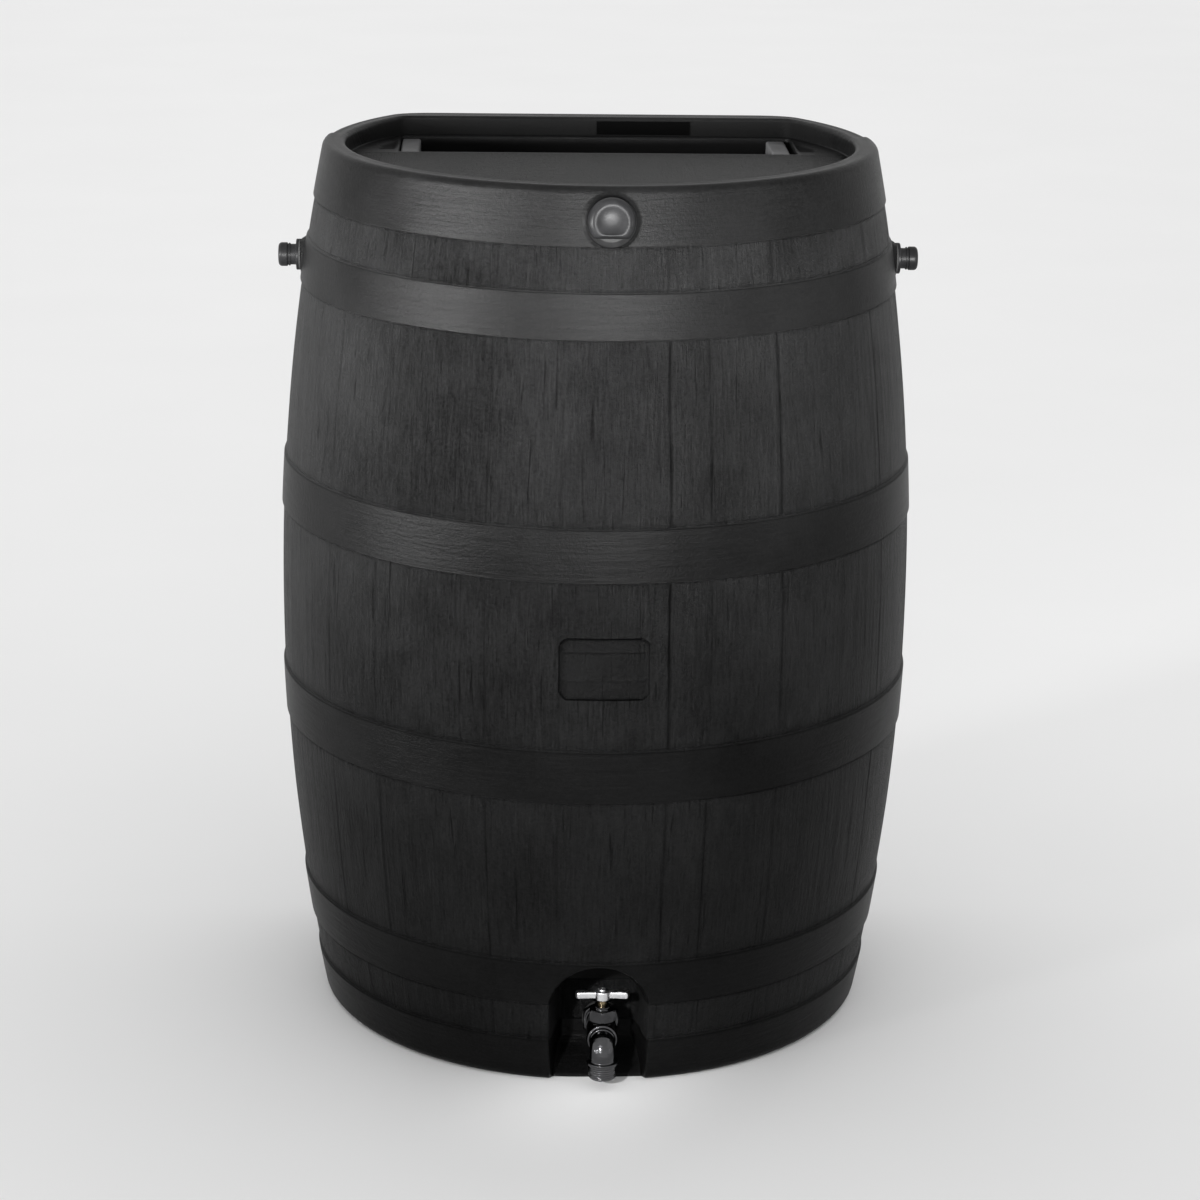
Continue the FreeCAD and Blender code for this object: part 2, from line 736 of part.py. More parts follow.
def make_gland():
    """Thrust washer, packing and the nut that squeezes them."""
    stem = dim["stem_radius"] + dim["running_gap"]
    floor = dim["gland_floor"]
    keep(ring("stem_thrust_washer", stem, dim["gland_radius"] - 0.1, sized(1), above_ball(floor)),
         "stem_thrust_washer")
    packing_length, packing_lift = sized(4), 3.1
    keep(ring("stem_packing", stem, dim["gland_radius"] - 0.1, packing_length,
              above_ball(floor + packing_lift)), "stem_packing")
    bottom, top = dim["packing_nut_bottom"], dim["packing_nut_top"]
    neck = dim["neck_radius"] + dim["running_gap"]
    hexagon_blank = hexagon("packing_hexagon", dim["packing_nut_flats"], top - bottom, above_ball(bottom))
    crown = cylinder("packing_crown", dim["neck_radius"] - 0.5, 3, above_ball(top))
    pusher = ring("packing_pusher", stem, dim["gland_radius"] - 0.1, sized(4), above_ball(floor + 7.1))
    mouth = cylinder("packing_mouth", neck, dim["neck_top"] + 1 - bottom, above_ball(bottom))
    hole = cylinder("packing_hole", stem, ABOVE, above_ball(bottom))
    cap = cut("packing_cap", fuse("packing_blank", [hexagon_blank, crown]), [mouth, hole])
    keep(fuse("packing_nut", [cap, pusher]), "packing_nut")


def make_handle():
    """Tee handle: a bar across the flow with a round hub, held by one screw."""
    half, thick = dim["handle_length"] / 2, dim["handle_thickness"]
    bottom = dim["handle_bottom"]
    body = new_body("handle_bar", above_ball(bottom))
    outline = rounded_rectangle(2 * half, thick, sized(3))
    feature = pad(body, [outline], thick)
    round_edges(feature, sized(1.6), lambda edge: edge.BoundBox.ZLength < 0.01)
    hub = turned("handle_hub", [[(0, 0), (dim["hub_radius"] - 1, 0), (dim["hub_radius"], 1),
                                 (dim["hub_radius"], thick), (dim["hub_radius"] - 1.5, thick + 1.5),
                                 (0, thick + 1.5)]], above_ball(bottom - 1))
    square = dim["stem_square"] / 2 + 0.1
    centre = above_ball(bottom)
    broach = box("handle_square", (centre[0] - square, centre[1] - square, bottom - 2),
                 (centre[0] + square, centre[1] + square, bottom + thick - 1))
    screw_hole = cylinder("handle_screw_hole", dim["screw_radius"] + 0.1, ABOVE, above_ball(bottom))
    keep(cut("spigot_handle", fuse("handle_blank", [body, hub]), [broach, screw_hole]), "spigot_handle")
    seat = bottom + thick + 0.5
    shank = dim["screw_radius"]
    head = dim["screw_head_radius"]
    screw = turned("handle_screw", [[(0, -8), (shank, -8), (shank, 0), (head, 0), (head, 0.8, 2.4),
                                     (head - 1.6, 2), (0, 2)]], above_ball(seat))
    keep(screw, "handle_screw")


def make_spigot_fixing():
    """Gaskets on both faces of the niche wall, and the lock nut inside."""
    gasket, wall = dim["gasket_thickness"], dim["wall"]
    inner = dim["tail_radius"] + dim["running_gap"]
    outer = dim["gasket_radius"]
    keep(ring("spigot_outer_gasket", inner, outer, gasket, forward(0), "-Y"), "spigot_outer_gasket")
    keep(ring("spigot_inner_gasket", inner, outer, gasket, forward(-wall), "Y"), "spigot_inner_gasket")
    keep(nut("spigot_lock_nut", dim["spigot_nut_flats"], inner, dim["spigot_nut_length"],
             forward(-wall - gasket), "Y"), "spigot_lock_nut")


# ---------------------------------------------------------------------------------------------------------
# Side nozzles
# ---------------------------------------------------------------------------------------------------------

def make_nozzle(side, sign):
    """Threaded nozzle through the wall, sealed outside and locked inside, with a screw cap."""
    out, back = outward(sign), outward(-sign)

    def at(reach):
        """Point on the nozzle's axis, at a distance outside the boss face."""
        return (sign * (dim["nozzle_face"] + reach), 0, dim["nozzle_height"])

    gasket, flange = dim["nozzle_gasket"], dim["nozzle_flange"]
    tail, neck, bore = dim["nozzle_tail_radius"], dim["nozzle_neck_radius"], dim["nozzle_bore"]
    flange_end = gasket + flange
    tip = flange_end + dim["nozzle_neck"] - dim["cap_end"] - 1
    shoulder_end = flange_end + dim["nozzle_neck"] - dim["cap_length"]
    outline = [(bore, -dim["nozzle_tail_length"]), (tail, -dim["nozzle_tail_length"]), (tail, gasket),
               (dim["nozzle_flange_radius"], gasket), (dim["nozzle_flange_radius"], flange_end),
               (neck + 0.4, flange_end), (neck + 0.4, shoulder_end), (neck, shoulder_end),
               (neck, tip - 1), (bore, tip - 1)]
    keep(turned(side + "_nozzle", [outline], at(0), out), side + "_nozzle")
    hole = tail + dim["running_gap"]
    keep(ring(side + "_nozzle_gasket", hole, dim["nozzle_flange_radius"], gasket, at(0), out),
         side + "_nozzle_gasket")
    keep(nut(side + "_nozzle_nut", dim["nozzle_nut_flats"], hole, dim["nozzle_nut_length"],
             at(-dim["nozzle_boss_length"]), back), side + "_nozzle_nut")
    make_cap(side, at(flange_end + dim["nozzle_neck"]), out)


def make_cap(side, end, out):
    """Screw cap with a flat washer inside, drawn back from its closed end."""
    radius, length, thick = dim["cap_radius"], dim["cap_length"], dim["cap_end"]
    inner = dim["nozzle_neck_radius"] + dim["cap_gap"]
    rounding = sized(3)
    outline = [(0, -thick), (inner, -thick), (inner, -length),
               (radius - 0.5, -length), (radius - 0.5, 1.5 - length),
               (radius - 1.2, 1.5 - length), (radius - 1.2, 3 - length), (radius, 3 - length),
               (radius, -rounding, rounding), (radius - rounding, 0), (0, 0)]
    keep(turned(side + "_cap", [outline], end, out), side + "_cap")
    washer = turned(side + "_cap_washer", [rectangle(0, -thick - 1, inner - 0.2, -thick)], end, out)
    keep(washer, side + "_cap_washer")


# ---------------------------------------------------------------------------------------------------------
# Front overflow
# ---------------------------------------------------------------------------------------------------------

def make_overflow():
    """Threaded bushing through the rim, with its gasket, lock nut, plug and plug washer."""
    gasket, flange = dim["overflow_gasket"], dim["overflow_flange"]
    tail, bore = dim["overflow_tail_radius"], dim["overflow_bore"]
    face = gasket + flange
    outline = [(bore, -dim["overflow_tail_length"]), (tail, -dim["overflow_tail_length"]), (tail, gasket),
               (dim["overflow_flange_radius"], gasket), (dim["overflow_flange_radius"], face - 0.8),
               (dim["overflow_flange_radius"] - 0.8, face), (bore, face)]
    keep(turned("overflow_bushing", [outline], overflow_at(0), "overflow out"), "overflow_bushing")
    hole = tail + dim["running_gap"]
    keep(ring("overflow_gasket", hole, dim["overflow_flange_radius"] - 1, gasket, overflow_at(0),
              "overflow out"), "overflow_gasket")
    keep(nut("overflow_nut", dim["overflow_nut_flats"], hole, dim["overflow_nut_length"],
             overflow_at(-dim["overflow_boss_length"]), "overflow in"), "overflow_nut")
    make_plug(face)


def make_plug(face):
    """Screw plug: a dished round head that is flat underneath, on a hollow shank."""
    washer, shank = sized(1.2), dim["overflow_bore"] - dim["cap_gap"]
    head, length, crown = dim["plug_head_radius"], dim["plug_head_length"], dim["plug_crown_radius"]
    washer_radius = sized(18)
    keep(ring("plug_washer", shank + 0.2, washer_radius, washer, overflow_at(face), "overflow out"),
         "plug_washer")
    start, end = face + washer, face + washer + length
    tail_end = face - dim["plug_shank_length"]
    shank_wall, dish = 3, 2.4
    outline = [(0, start - 2), (shank - shank_wall, start - 2), (shank - shank_wall, tail_end),
               (shank, tail_end), (shank, start), (head - 1, start), (head, start + 2), (head, end - 5),
               (crown, end), (crown - 5, end - 1.4), (0, end - dish)]
    blank = turned("plug_blank", [outline], overflow_at(0), "overflow out")
    under = new_body("plug_flat_space", overflow_at(start + 1), "overflow out")
    pad(under, [rectangle(-head, -2 * head, head, -dim["plug_flat"])], length)
    keep(cut("overflow_plug", blank, [under]), "overflow_plug")


# ---------------------------------------------------------------------------------------------------------
# Debris screen
# ---------------------------------------------------------------------------------------------------------

def make_screen():
    """Frame on the well's ledge, grille in the frame's rebate and a lift grip at each end."""
    gap, rail, rebate = dim["screen_gap"], dim["rail_width"], dim["rebate_width"]
    floor = dim["deck_height"] - dim["well_depth"]
    left, right = -dim["screen_left"], dim["screen_right"]
    front, back = dim["slot_front"] + gap, dim["slot_back"] - gap
    frame = new_body("screen_frame", (0, 0, floor))
    opening = rectangle(left + rail, front + rail, right - rail, back - rail)
    pad(frame, [rectangle(left, front, right, back), opening], dim["rail_height"])
    wider = rail - rebate
    pocket(frame, [rectangle(left + wider, front + wider, right - wider, back - wider)],
           dim["rebate_depth"], dim["rail_height"])
    keep(frame, "screen_frame")
    inset = wider + dim["grille_gap"]
    level = floor + dim["rail_height"] - dim["rebate_depth"]
    make_grille(left + inset, front + inset, right - inset, back - inset, level)
    top = floor + dim["rail_height"]
    make_grip("left_grip", left, front, back, top)
    make_grip("right_grip", right - dim["grip_width"], front, back, top)


def make_grille(left, front, right, back, level):
    """Crossed bars, each set made by a pattern along the other's direction."""
    body = new_body("screen_grille", (0, 0, level))
    bar, thick = dim["grille_bar"], dim["grille_thickness"]
    rows = (rectangle(left, front, right, front + bar), "V_Axis", back - front - bar, "grille_rows")
    columns = (rectangle(left, front, left + bar, back), "H_Axis", right - left - bar, "grille_columns")
    for outline, axis, span, count in (rows, columns):
        feature = pad(body, [outline], thick)
        pattern = body.newObject("PartDesign::LinearPattern", count + "_pattern")
        pattern.Originals = [feature]
        pattern.Direction = (feature.Profile[0], [axis])
        bind(pattern, "Length", span)
        bind(pattern, "Occurrences", dim[count])
        body.Tip = pattern
    keep(body, "screen_grille")


def make_grip(name, left, front, back, bottom):
    """Hollow bar across the end of the screen, with softened top edges and an open underside."""
    body = new_body(name, (left, front, bottom))
    width, depth, height, wall = dim["grip_width"], back - front, dim["grip_height"], dim["grip_wall"]
    feature = pad(body, [rectangle(0, 0, width, depth)], height)
    round_edges(feature, dim["grip_edge"], lambda edge: edge.BoundBox.ZMin > height.value - 0.01)
    pocket(body, [rectangle(wall, wall, width - wall, depth - wall)], height - wall, height - wall)
    keep(body, name)


# ---------------------------------------------------------------------------------------------------------
# Build, check and export
# ---------------------------------------------------------------------------------------------------------

make_shell()
make_label()
make_spigot_body()
make_spigot_seal_stack()
make_ball()
make_stem()
make_gland()
make_handle()
make_spigot_fixing()
for side_name, side_sign in SIDES:
    make_nozzle(side_name, side_sign)
make_overflow()
make_screen()
doc.recompute()

for item in doc.Objects:
    if "Invalid" in item.State or "Error" in item.State:
        raise RuntimeError("%s failed: %s" % (item.Label, item.State))

for node, item in nodes.items():
    shape = item.Shape
    if shape.isNull() or not shape.isValid() or not shape.Solids:
        raise RuntimeError("%s has no sound solid" % node)
    shape.exportStep("parts/%s.step" % node)
    print("%-22s solids %d  volume %.0f mm3" % (node, len(shape.Solids), shape.Volume))
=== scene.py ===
# Looks of the flat-backed rain barrel, in metres, built round its CAD frame.
# The front with the spigot faces -Y; angles on the barrel are degrees from the front, positive towards +X.

import json
import math

import bmesh
import bpy
import numpy as np
from mathutils import Matrix, Vector
from mathutils.geometry import delaunay_2d_cdt


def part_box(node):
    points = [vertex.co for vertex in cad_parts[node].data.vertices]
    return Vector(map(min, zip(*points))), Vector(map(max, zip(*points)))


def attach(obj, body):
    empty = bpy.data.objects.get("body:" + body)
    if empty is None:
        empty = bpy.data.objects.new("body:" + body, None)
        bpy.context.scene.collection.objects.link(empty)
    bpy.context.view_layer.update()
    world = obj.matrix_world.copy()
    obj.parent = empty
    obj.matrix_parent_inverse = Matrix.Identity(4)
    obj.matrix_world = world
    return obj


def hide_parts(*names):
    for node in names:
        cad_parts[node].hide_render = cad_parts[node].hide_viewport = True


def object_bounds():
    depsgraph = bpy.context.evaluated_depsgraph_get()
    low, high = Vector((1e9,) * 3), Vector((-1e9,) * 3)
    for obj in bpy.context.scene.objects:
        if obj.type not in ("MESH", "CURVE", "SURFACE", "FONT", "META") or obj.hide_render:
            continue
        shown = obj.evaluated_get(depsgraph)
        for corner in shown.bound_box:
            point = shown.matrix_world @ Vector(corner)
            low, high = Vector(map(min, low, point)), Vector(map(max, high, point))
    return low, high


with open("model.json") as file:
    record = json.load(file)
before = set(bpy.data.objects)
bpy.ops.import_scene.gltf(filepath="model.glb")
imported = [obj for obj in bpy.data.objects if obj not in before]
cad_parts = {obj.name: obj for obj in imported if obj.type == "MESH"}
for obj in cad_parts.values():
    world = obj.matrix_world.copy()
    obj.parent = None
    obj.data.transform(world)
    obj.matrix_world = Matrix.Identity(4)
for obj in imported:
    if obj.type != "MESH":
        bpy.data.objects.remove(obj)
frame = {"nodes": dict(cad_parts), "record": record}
cad_low, cad_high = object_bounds()

# ---- Sizes of the moulded shell ----

TOP = cad_high.z
BACK = cad_high.y
BELLY_RADIUS = 0.3106
BELLY_HEIGHT = 0.418
STAVE_ARC = 2.192
WALL = 0.0045
BASE_EDGE = 0.008
RIM_EDGE = 0.006
CORNER_REACH = 0.022          # how gradually the round front turns into the flat back

HOOP_RISE = 0.002
HOOP_EDGE = 0.0006            # half the width of a hoop's stepped edge
HOOP_GROOVE = 0.0010          # depth of the groove that runs beside a hoop's edge
HOOP_GROOVE_HALF = 0.0008
BEYOND = 0.05                 # the base band and the rim hoop run on past the ends of the barrel
HOOPS = ((-BEYOND, 0.045), (0.086, 0.130), (0.299, 0.349), (0.512, 0.561), (0.732, 0.773),
         (0.814, TOP + BEYOND))

# Joints between staves: degrees from the front, and how deep each is between the hoops, from the foot up.
SEAMS = {-56: (0.2, 0.3, 0.3, 0.4, 0.2), -43: (0.1, 0.4, 0.3, 0.2, 0.1), -20.7: (0.5, 0.7, 0.6, 0.6, 0.4),
         -7.8: (0.2, 0.3, 0.3, 0.3, 0.2), 11.1: (0.3, 0.5, 0.9, 1.0, 0.5), 18.5: (0.2, 0.6, 0.3, 0.5, 0.3),
         32.3: (0.3, 0.35, 0.5, 1.0, 0.4), 60: (0.2, 0.3, 0.3, 0.4, 0.2)}
for step in range(1, 12):
    SEAMS[60 + 18.7 * step] = (0.3, 0.4, 0.5, 0.6, 0.4)
SEAM_DEPTH = 0.0016
SEAM_HALF = 0.0011
GRAIN_DEPTH = 0.00035

PLAQUE_HALF = (0.0415, 0.029)
PLAQUE_CORNER = 0.009
PLAQUE_DEPTH = 0.0035
PLAQUE_LEVEL = 0.430
PLAQUE_FRAME_HALF = (0.039, 0.0135)
PLAQUE_FRAME_LIFT = 0.0011
PLAQUE_FRAME_LEVEL = PLAQUE_LEVEL + 0.0025

NICHE_HALF = 0.037
NICHE_SPRING = 0.078
NICHE_BACK = -0.222
NICHE_SLOPE = math.tan(math.radians(9))
NICHE_LIP = 0.020
RAMP_TOP = 0.025
RAMP_FOOT = -0.264
RAMP_BLEND = 0.005

DECK = 0.845
DECK_RADIUS = 0.245
DECK_BACK = 0.154
RIM_STEP = 0.0022             # the back of the rim is this much lower than the front
RIM_STEP_ANGLE = 97
RIM_ROUND = 0.005
RIM_CROWN = 0.0004
SLOT_HALF = 0.1955
SLOT_FRONT = 0.050
SLOT_BACK = 0.149
LEDGE = 0.811
LEDGE_WIDTH = 0.008

SPIGOT_AT = Vector((0.004, -0.262, 0.046))
SPIGOT_HOLE = 0.0155
OVERFLOW_AT = Vector((0.002, -0.2735, 0.836))
OVERFLOW_TILT = math.asin((OVERFLOW_AT.z - BELLY_HEIGHT) / STAVE_ARC)
OVERFLOW_OUT = Vector((0, -math.cos(OVERFLOW_TILT), math.sin(OVERFLOW_TILT)))
OVERFLOW_BOSS = 0.0245
OVERFLOW_HOLE = 0.0175
NOZZLE_LEVEL = sum(corner.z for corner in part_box("left_cap")) / 2
NOZZLE_FACE = 0.2896
NOZZLE_BOSS = 0.016
NOZZLE_HOLE = 0.0125
BOSS_EDGE = (-0.0006, 0.001)  # where a boss's rounded edge starts and ends, from its radius

HEX_SIDES = 96
UP = (0, 0, 1)


# ---- Number helpers ----

def smooth_step(value, start, end):
    """0 before start, 1 after end, and a smooth rise between."""
    share = np.clip((value - start) / (end - start), 0, 1)
    return share * share * (3 - 2 * share)


def soft_min(first, second, reach):
    """The smaller of two, rounded over where they differ by less than reach."""
    overlap = np.maximum(reach - np.abs(first - second), 0)
    return np.minimum(first, second) - overlap ** 2 / (4 * reach)


def soft_max(first, second, reach):
    return -soft_min(-first, -second, reach)


def lattice_noise(across, along, seed):
    """Smooth random field from -1 to 1 whose features are one unit wide."""
    table = np.random.default_rng(seed).uniform(-1, 1, (256, 256))
    column, row = np.floor(across).astype(int), np.floor(along).astype(int)
    a, b = across - column, along - row
    a, b = a * a * (3 - 2 * a), b * b * (3 - 2 * b)

    def corner(right, up):
        return table[(column + right) % 256, (row + up) % 256]

    low = (1 - a) * corner(0, 0) + a * corner(1, 0)
    high = (1 - a) * corner(0, 1) + a * corner(1, 1)
    return (1 - b) * low + b * high


def grain(across, along, seed):
    """Height of wood grain that runs along the second direction, from -1 to 1."""
    bend = 0.8 * lattice_noise(across * 14, along * 6, seed)
    fine = lattice_noise(across * 300 + bend, along * 9, seed + 1)
    broad = lattice_noise(across * 80 + bend, along * 4, seed + 2)
    return 0.6 * fine + 0.4 * broad


def spaced(spans):
    """Values through spans of (start, end, step), up to the end of the last span."""
    values = [np.arange(start, end, step) for start, end, step in spans]
    return np.sort(np.concatenate([*values, [spans[-1][1]]]))


def with_extra(values, extra, closest):
    """Sorted values with extra ones added, in place of those that are nearer to one than closest."""
    for value in extra:
        values = values[np.abs(values - value) > closest]
    return np.sort(np.concatenate([values, extra]))


# ---- Mesh helpers ----

class Surface:
    """Points and faces of one mesh, collected row by row."""

    def __init__(self):
        self.points = []
        self.faces = []

    def row(self, points):
        """Add points and return their numbers."""
        start = len(self.points)
        self.points.extend(tuple(float(value) for value in point) for point in points)
        return np.arange(start, len(self.points))

    def ring(self, place, height, reach, sides):
        """Row of points round an axis. The reach is a radius, or a function that gives it for each angle."""
        points = []
        for side in range(sides):
            turn = 2 * math.pi * side / sides
            radius = reach(turn) if callable(reach) else reach
            points.append(place @ Vector((radius * math.cos(turn), radius * math.sin(turn), height)))
        return self.row(points)

    def bridge(self, first, second, flip=False):
        """Quads between two closed rows with the same number of points."""
        for index in range(len(first)):
            follow = (index + 1) % len(first)
            face = (first[index], first[follow], second[follow], second[index])
            self.faces.append(tuple(int(number) for number in (face[::-1] if flip else face)))

    def stack(self, rows, flip=False):
        for first, second in zip(rows, rows[1:]):
            self.bridge(first, second, flip)

    def sheet(self, x, y, z, gone, flip=False):
        """Closed rows through grids of points, without the quads whose four corners are gone."""
        rows = [self.row(np.stack(points, 1)) for points in zip(x, y, z)]
        numbers = np.stack(rows)
        low, high = numbers[:-1], numbers[1:]
        corners = np.stack([low, np.roll(low, -1, 1), np.roll(high, -1, 1), high], -1)
        below, above = gone[:-1], gone[1:]
        kept = corners[~(below & np.roll(below, -1, 1) & np.roll(above, -1, 1) & above)]
        self.faces.extend(map(tuple, (kept[:, [0, 3, 2, 1]] if flip else kept).tolist()))
        return rows

    def cap(self, row, flip=False):
        face = tuple(int(number) for number in row)
        self.faces.append(face[::-1] if flip else face)

    def fill(self, outer, inner, inside, height, flip=False):
        """Triangles between an outer loop and an inner one, or none, through points given as (x, y)."""
        loops = [outer] + ([inner] if inner is not None else [])
        known = np.concatenate(loops)
        flat = [Vector(self.points[number][:2]) for number in known] + [Vector(point) for point in inside]
        edges, start = [], 0
        for loop in loops:
            edges += [(start + index, start + (index + 1) % len(loop)) for index in range(len(loop))]
            start += len(loop)
        points, _, triangles, origins, _, _ = delaunay_2d_cdt(flat, edges, [], 1, 1e-7)
        numbers = {}
        for index, (point, source) in enumerate(zip(points, origins)):
            if source and source[0] < len(known):
                numbers[index] = int(known[source[0]])
            else:
                numbers[index] = int(self.row([(point.x, point.y, height(point.x, point.y))])[0])
        hole = [self.points[number][:2] for number in inner] if inner is not None else []
        for triangle in triangles:
            middle = sum((Vector(points[corner]) for corner in triangle), Vector((0, 0))) / len(triangle)
            if hole and inside_loop(middle, hole):
                continue
            face = tuple(numbers[corner] for corner in triangle)
            self.faces.append(face[::-1] if flip else face)

    def build(self, name):
        mesh = bpy.data.meshes.new(name)
        mesh.from_pydata(self.points, [], self.faces)
        mesh.update()
        piece = bpy.data.objects.new(name, mesh)
        bpy.context.scene.collection.objects.link(piece)
        return piece


def inside_loop(point, loop):
    """Even-odd test of a flat point against a closed loop."""
    found = False
    for (x1, y1), (x2, y2) in zip(loop, loop[1:] + loop[:1]):
        if (y1 > point[1]) != (y2 > point[1]) and point[0] < x1 + (point[1] - y1) / (y2 - y1) * (x2 - x1):
            found = not found
    return found


def cover(piece, material, sharp_from):
    """Give a piece its one material and shade it smooth up to an angle."""
    piece.data.materials.clear()
    piece.data.materials.append(material)
    piece.data.shade_smooth()
    piece.data.set_sharp_from_angle(angle=math.radians(sharp_from))


def finish_piece(piece, sharp_from, body, slot, node, material=None):
    """Shade a piece smooth, give it the slot's material or the one named, parent it to its body's empty and
    hide the CAD node it stands for.
    """
    cover(piece, MATERIALS[material or slot], sharp_from)
    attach(piece, body)
    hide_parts(node)


def turn_to(direction):
    """Rotation that takes +Z to a direction."""
    return Vector((0, 0, 1)).rotation_difference(Vector(direction)).to_matrix().to_4x4()


def lathe(surface, profile, at, along, sides=64):
    """Turn (radius, height) points about an axis through a point. A radius of zero closes the end."""
    place = Matrix.Translation(Vector(at)) @ turn_to(along)
    rows = []
    for radius, height in profile:
        rows.append(surface.ring(place, height, radius, sides if radius else 1))
    for first, second in zip(rows, rows[1:]):
        if len(first) == 1:
            surface.faces += [(int(first[0]), int(second[i]), int(second[i - 1])) for i in range(len(second))]
        elif len(second) == 1:
            surface.faces += [(int(second[0]), int(first[i - 1]), int(first[i])) for i in range(len(first))]
        else:
            surface.bridge(first, second)
    return rows


def thread(crest, root, start, end, pitch):
    """Profile points of a run of ridges along a bar."""
    feet = np.arange(start, end, pitch)
    return [point for foot in feet for point in ((crest, foot), (root, foot + pitch / 2))]


def hexagon(flats, limit):
    """Radius at each angle of a hexagon held inside a circle."""
    def reach(turn):
        sector = (turn + math.pi / 6) % (math.pi / 3) - math.pi / 6
        return min(flats / 2 / math.cos(sector), limit)
    return reach


def hex_nut(surface, flats, bottom, top, chamfer, hole, at, along):
    """Hexagon with chamfered corners and a round hole."""
    place = Matrix.Translation(Vector(at)) @ turn_to(along)
    low, high = flats / 2 - 0.0003, flats / math.sqrt(3)
    middle, rise = (low + high) / 2, 0.45 * chamfer
    rows = [surface.ring(place, height, hexagon(flats, limit), HEX_SIDES)
            for limit, height in ((low, bottom), (middle, bottom + rise), (high, bottom + chamfer),
                                  (high, top - chamfer), (middle, top - rise), (low, top))]
    rows += [surface.ring(place, height, hole, HEX_SIDES) for height in (top, bottom)]
    surface.stack([*rows, rows[0]])


def tube(surface, path, radius, sides):
    """Round bar along a list of points, closed at both ends."""
    rows = []
    for index, point in enumerate(path):
        before, after = path[max(index - 1, 0)], path[min(index + 1, len(path) - 1)]
        place = Matrix.Translation(point) @ turn_to((after - before).normalized())
        rows.append(surface.ring(place, 0, radius, sides))
    surface.stack(rows)
    surface.cap(rows[0], flip=True)
    surface.cap(rows[-1])


def block(surface, centre, half, low, high, taper=1.0):
    """Closed upright block whose foot is taper times as wide as its top."""
    corners = [(-half[0], -half[1]), (half[0], -half[1]), (half[0], half[1]), (-half[0], half[1])]
    base, top = (surface.row([(centre.x + share * x, centre.y + share * y, height) for x, y in corners])
                 for share, height in ((taper, low), (1, high)))
    surface.bridge(base, top)
    surface.cap(base, flip=True)
    surface.cap(top)


# ---- Materials ----

class Shader:
    """A Principled material and short ways to add nodes to it."""

    def __init__(self, name, colour, roughness, metallic=0.0, specular=0.5):
        self.material = bpy.data.materials.new(name)
        self.material.use_nodes = True
        self.tree = self.material.node_tree
        self.surface = self.tree.nodes["Principled BSDF"]
        self.set(self.surface, "Base Color", (*colour, 1))
        self.rough(roughness)
        self.set(self.surface, "Metallic", metallic)
        self.set(self.surface, "Specular IOR Level", specular)

    def set(self, node, socket, value):
        """Set a socket to a number or join it to another node's output."""
        if isinstance(value, bpy.types.NodeSocket):
            self.tree.links.new(value, node.inputs[socket])
        else:
            node.inputs[socket].default_value = value

    def node(self, kind, output=0, settings=(), **inputs):
        node = self.tree.nodes.new(kind)
        for key, value in settings:
            setattr(node, key, value)
        for key, value in inputs.items():
            name = int(key[1:]) if key[0] == "_" else key.replace("_", " ")
            self.set(node, name, value)
        return node.outputs[output]

    def chain(self, operation, total, *others):
        """One operation applied from left to right."""
        for other in others:
            total = self.node("ShaderNodeMath", settings=[("operation", operation)], _0=total, _1=other)
        return total

    def plus(self, *values):
        return self.chain("ADD", *values)

    def minus(self, *values):
        return self.chain("SUBTRACT", *values)

    def times(self, *values):
        return self.chain("MULTIPLY", *values)

    def attribute(self, name, output="Fac"):
        return self.node("ShaderNodeAttribute", output, [("attribute_name", name)])

    def stretched(self, vector, scale):
        return self.node("ShaderNodeVectorMath", settings=[("operation", "MULTIPLY")], _0=vector, _1=scale)

    def noise(self, vector, scale, detail=4.0, rough=0.6, distortion=0.0):
        return self.node("ShaderNodeTexNoise", 0, Vector=vector, Scale=scale, Detail=detail, Roughness=rough,
                         Distortion=distortion)

    def between(self, value, low, high, to_low=0.0, to_high=1.0):
        """Map a range of a value smoothly on to another range."""
        return self.node("ShaderNodeMapRange", 0, [("interpolation_type", "SMOOTHSTEP")], Value=value,
                         From_Min=low, From_Max=high, To_Min=to_low, To_Max=to_high)

    def tint(self, share, dark, light):
        """Base colour between two colours."""
        mix = self.tree.nodes.new("ShaderNodeMix")
        mix.data_type = "RGBA"
        self.set(mix, 0, share)
        mix.inputs[6].default_value = (*dark, 1)
        mix.inputs[7].default_value = (*light, 1)
        self.set(self.surface, "Base Color", mix.outputs[2])

    def bump(self, height, distance, strength=1.0):
        self.set(self.surface, "Normal", self.node("ShaderNodeBump", Height=height, Distance=distance,
                                                   Strength=strength))

    def rough(self, value):
        self.set(self.surface, "Roughness", value)

    def speckle(self, *settings):
        """Noise in the object's own space."""
        return self.noise(self.node("ShaderNodeTexCoord", "Object"), *settings)


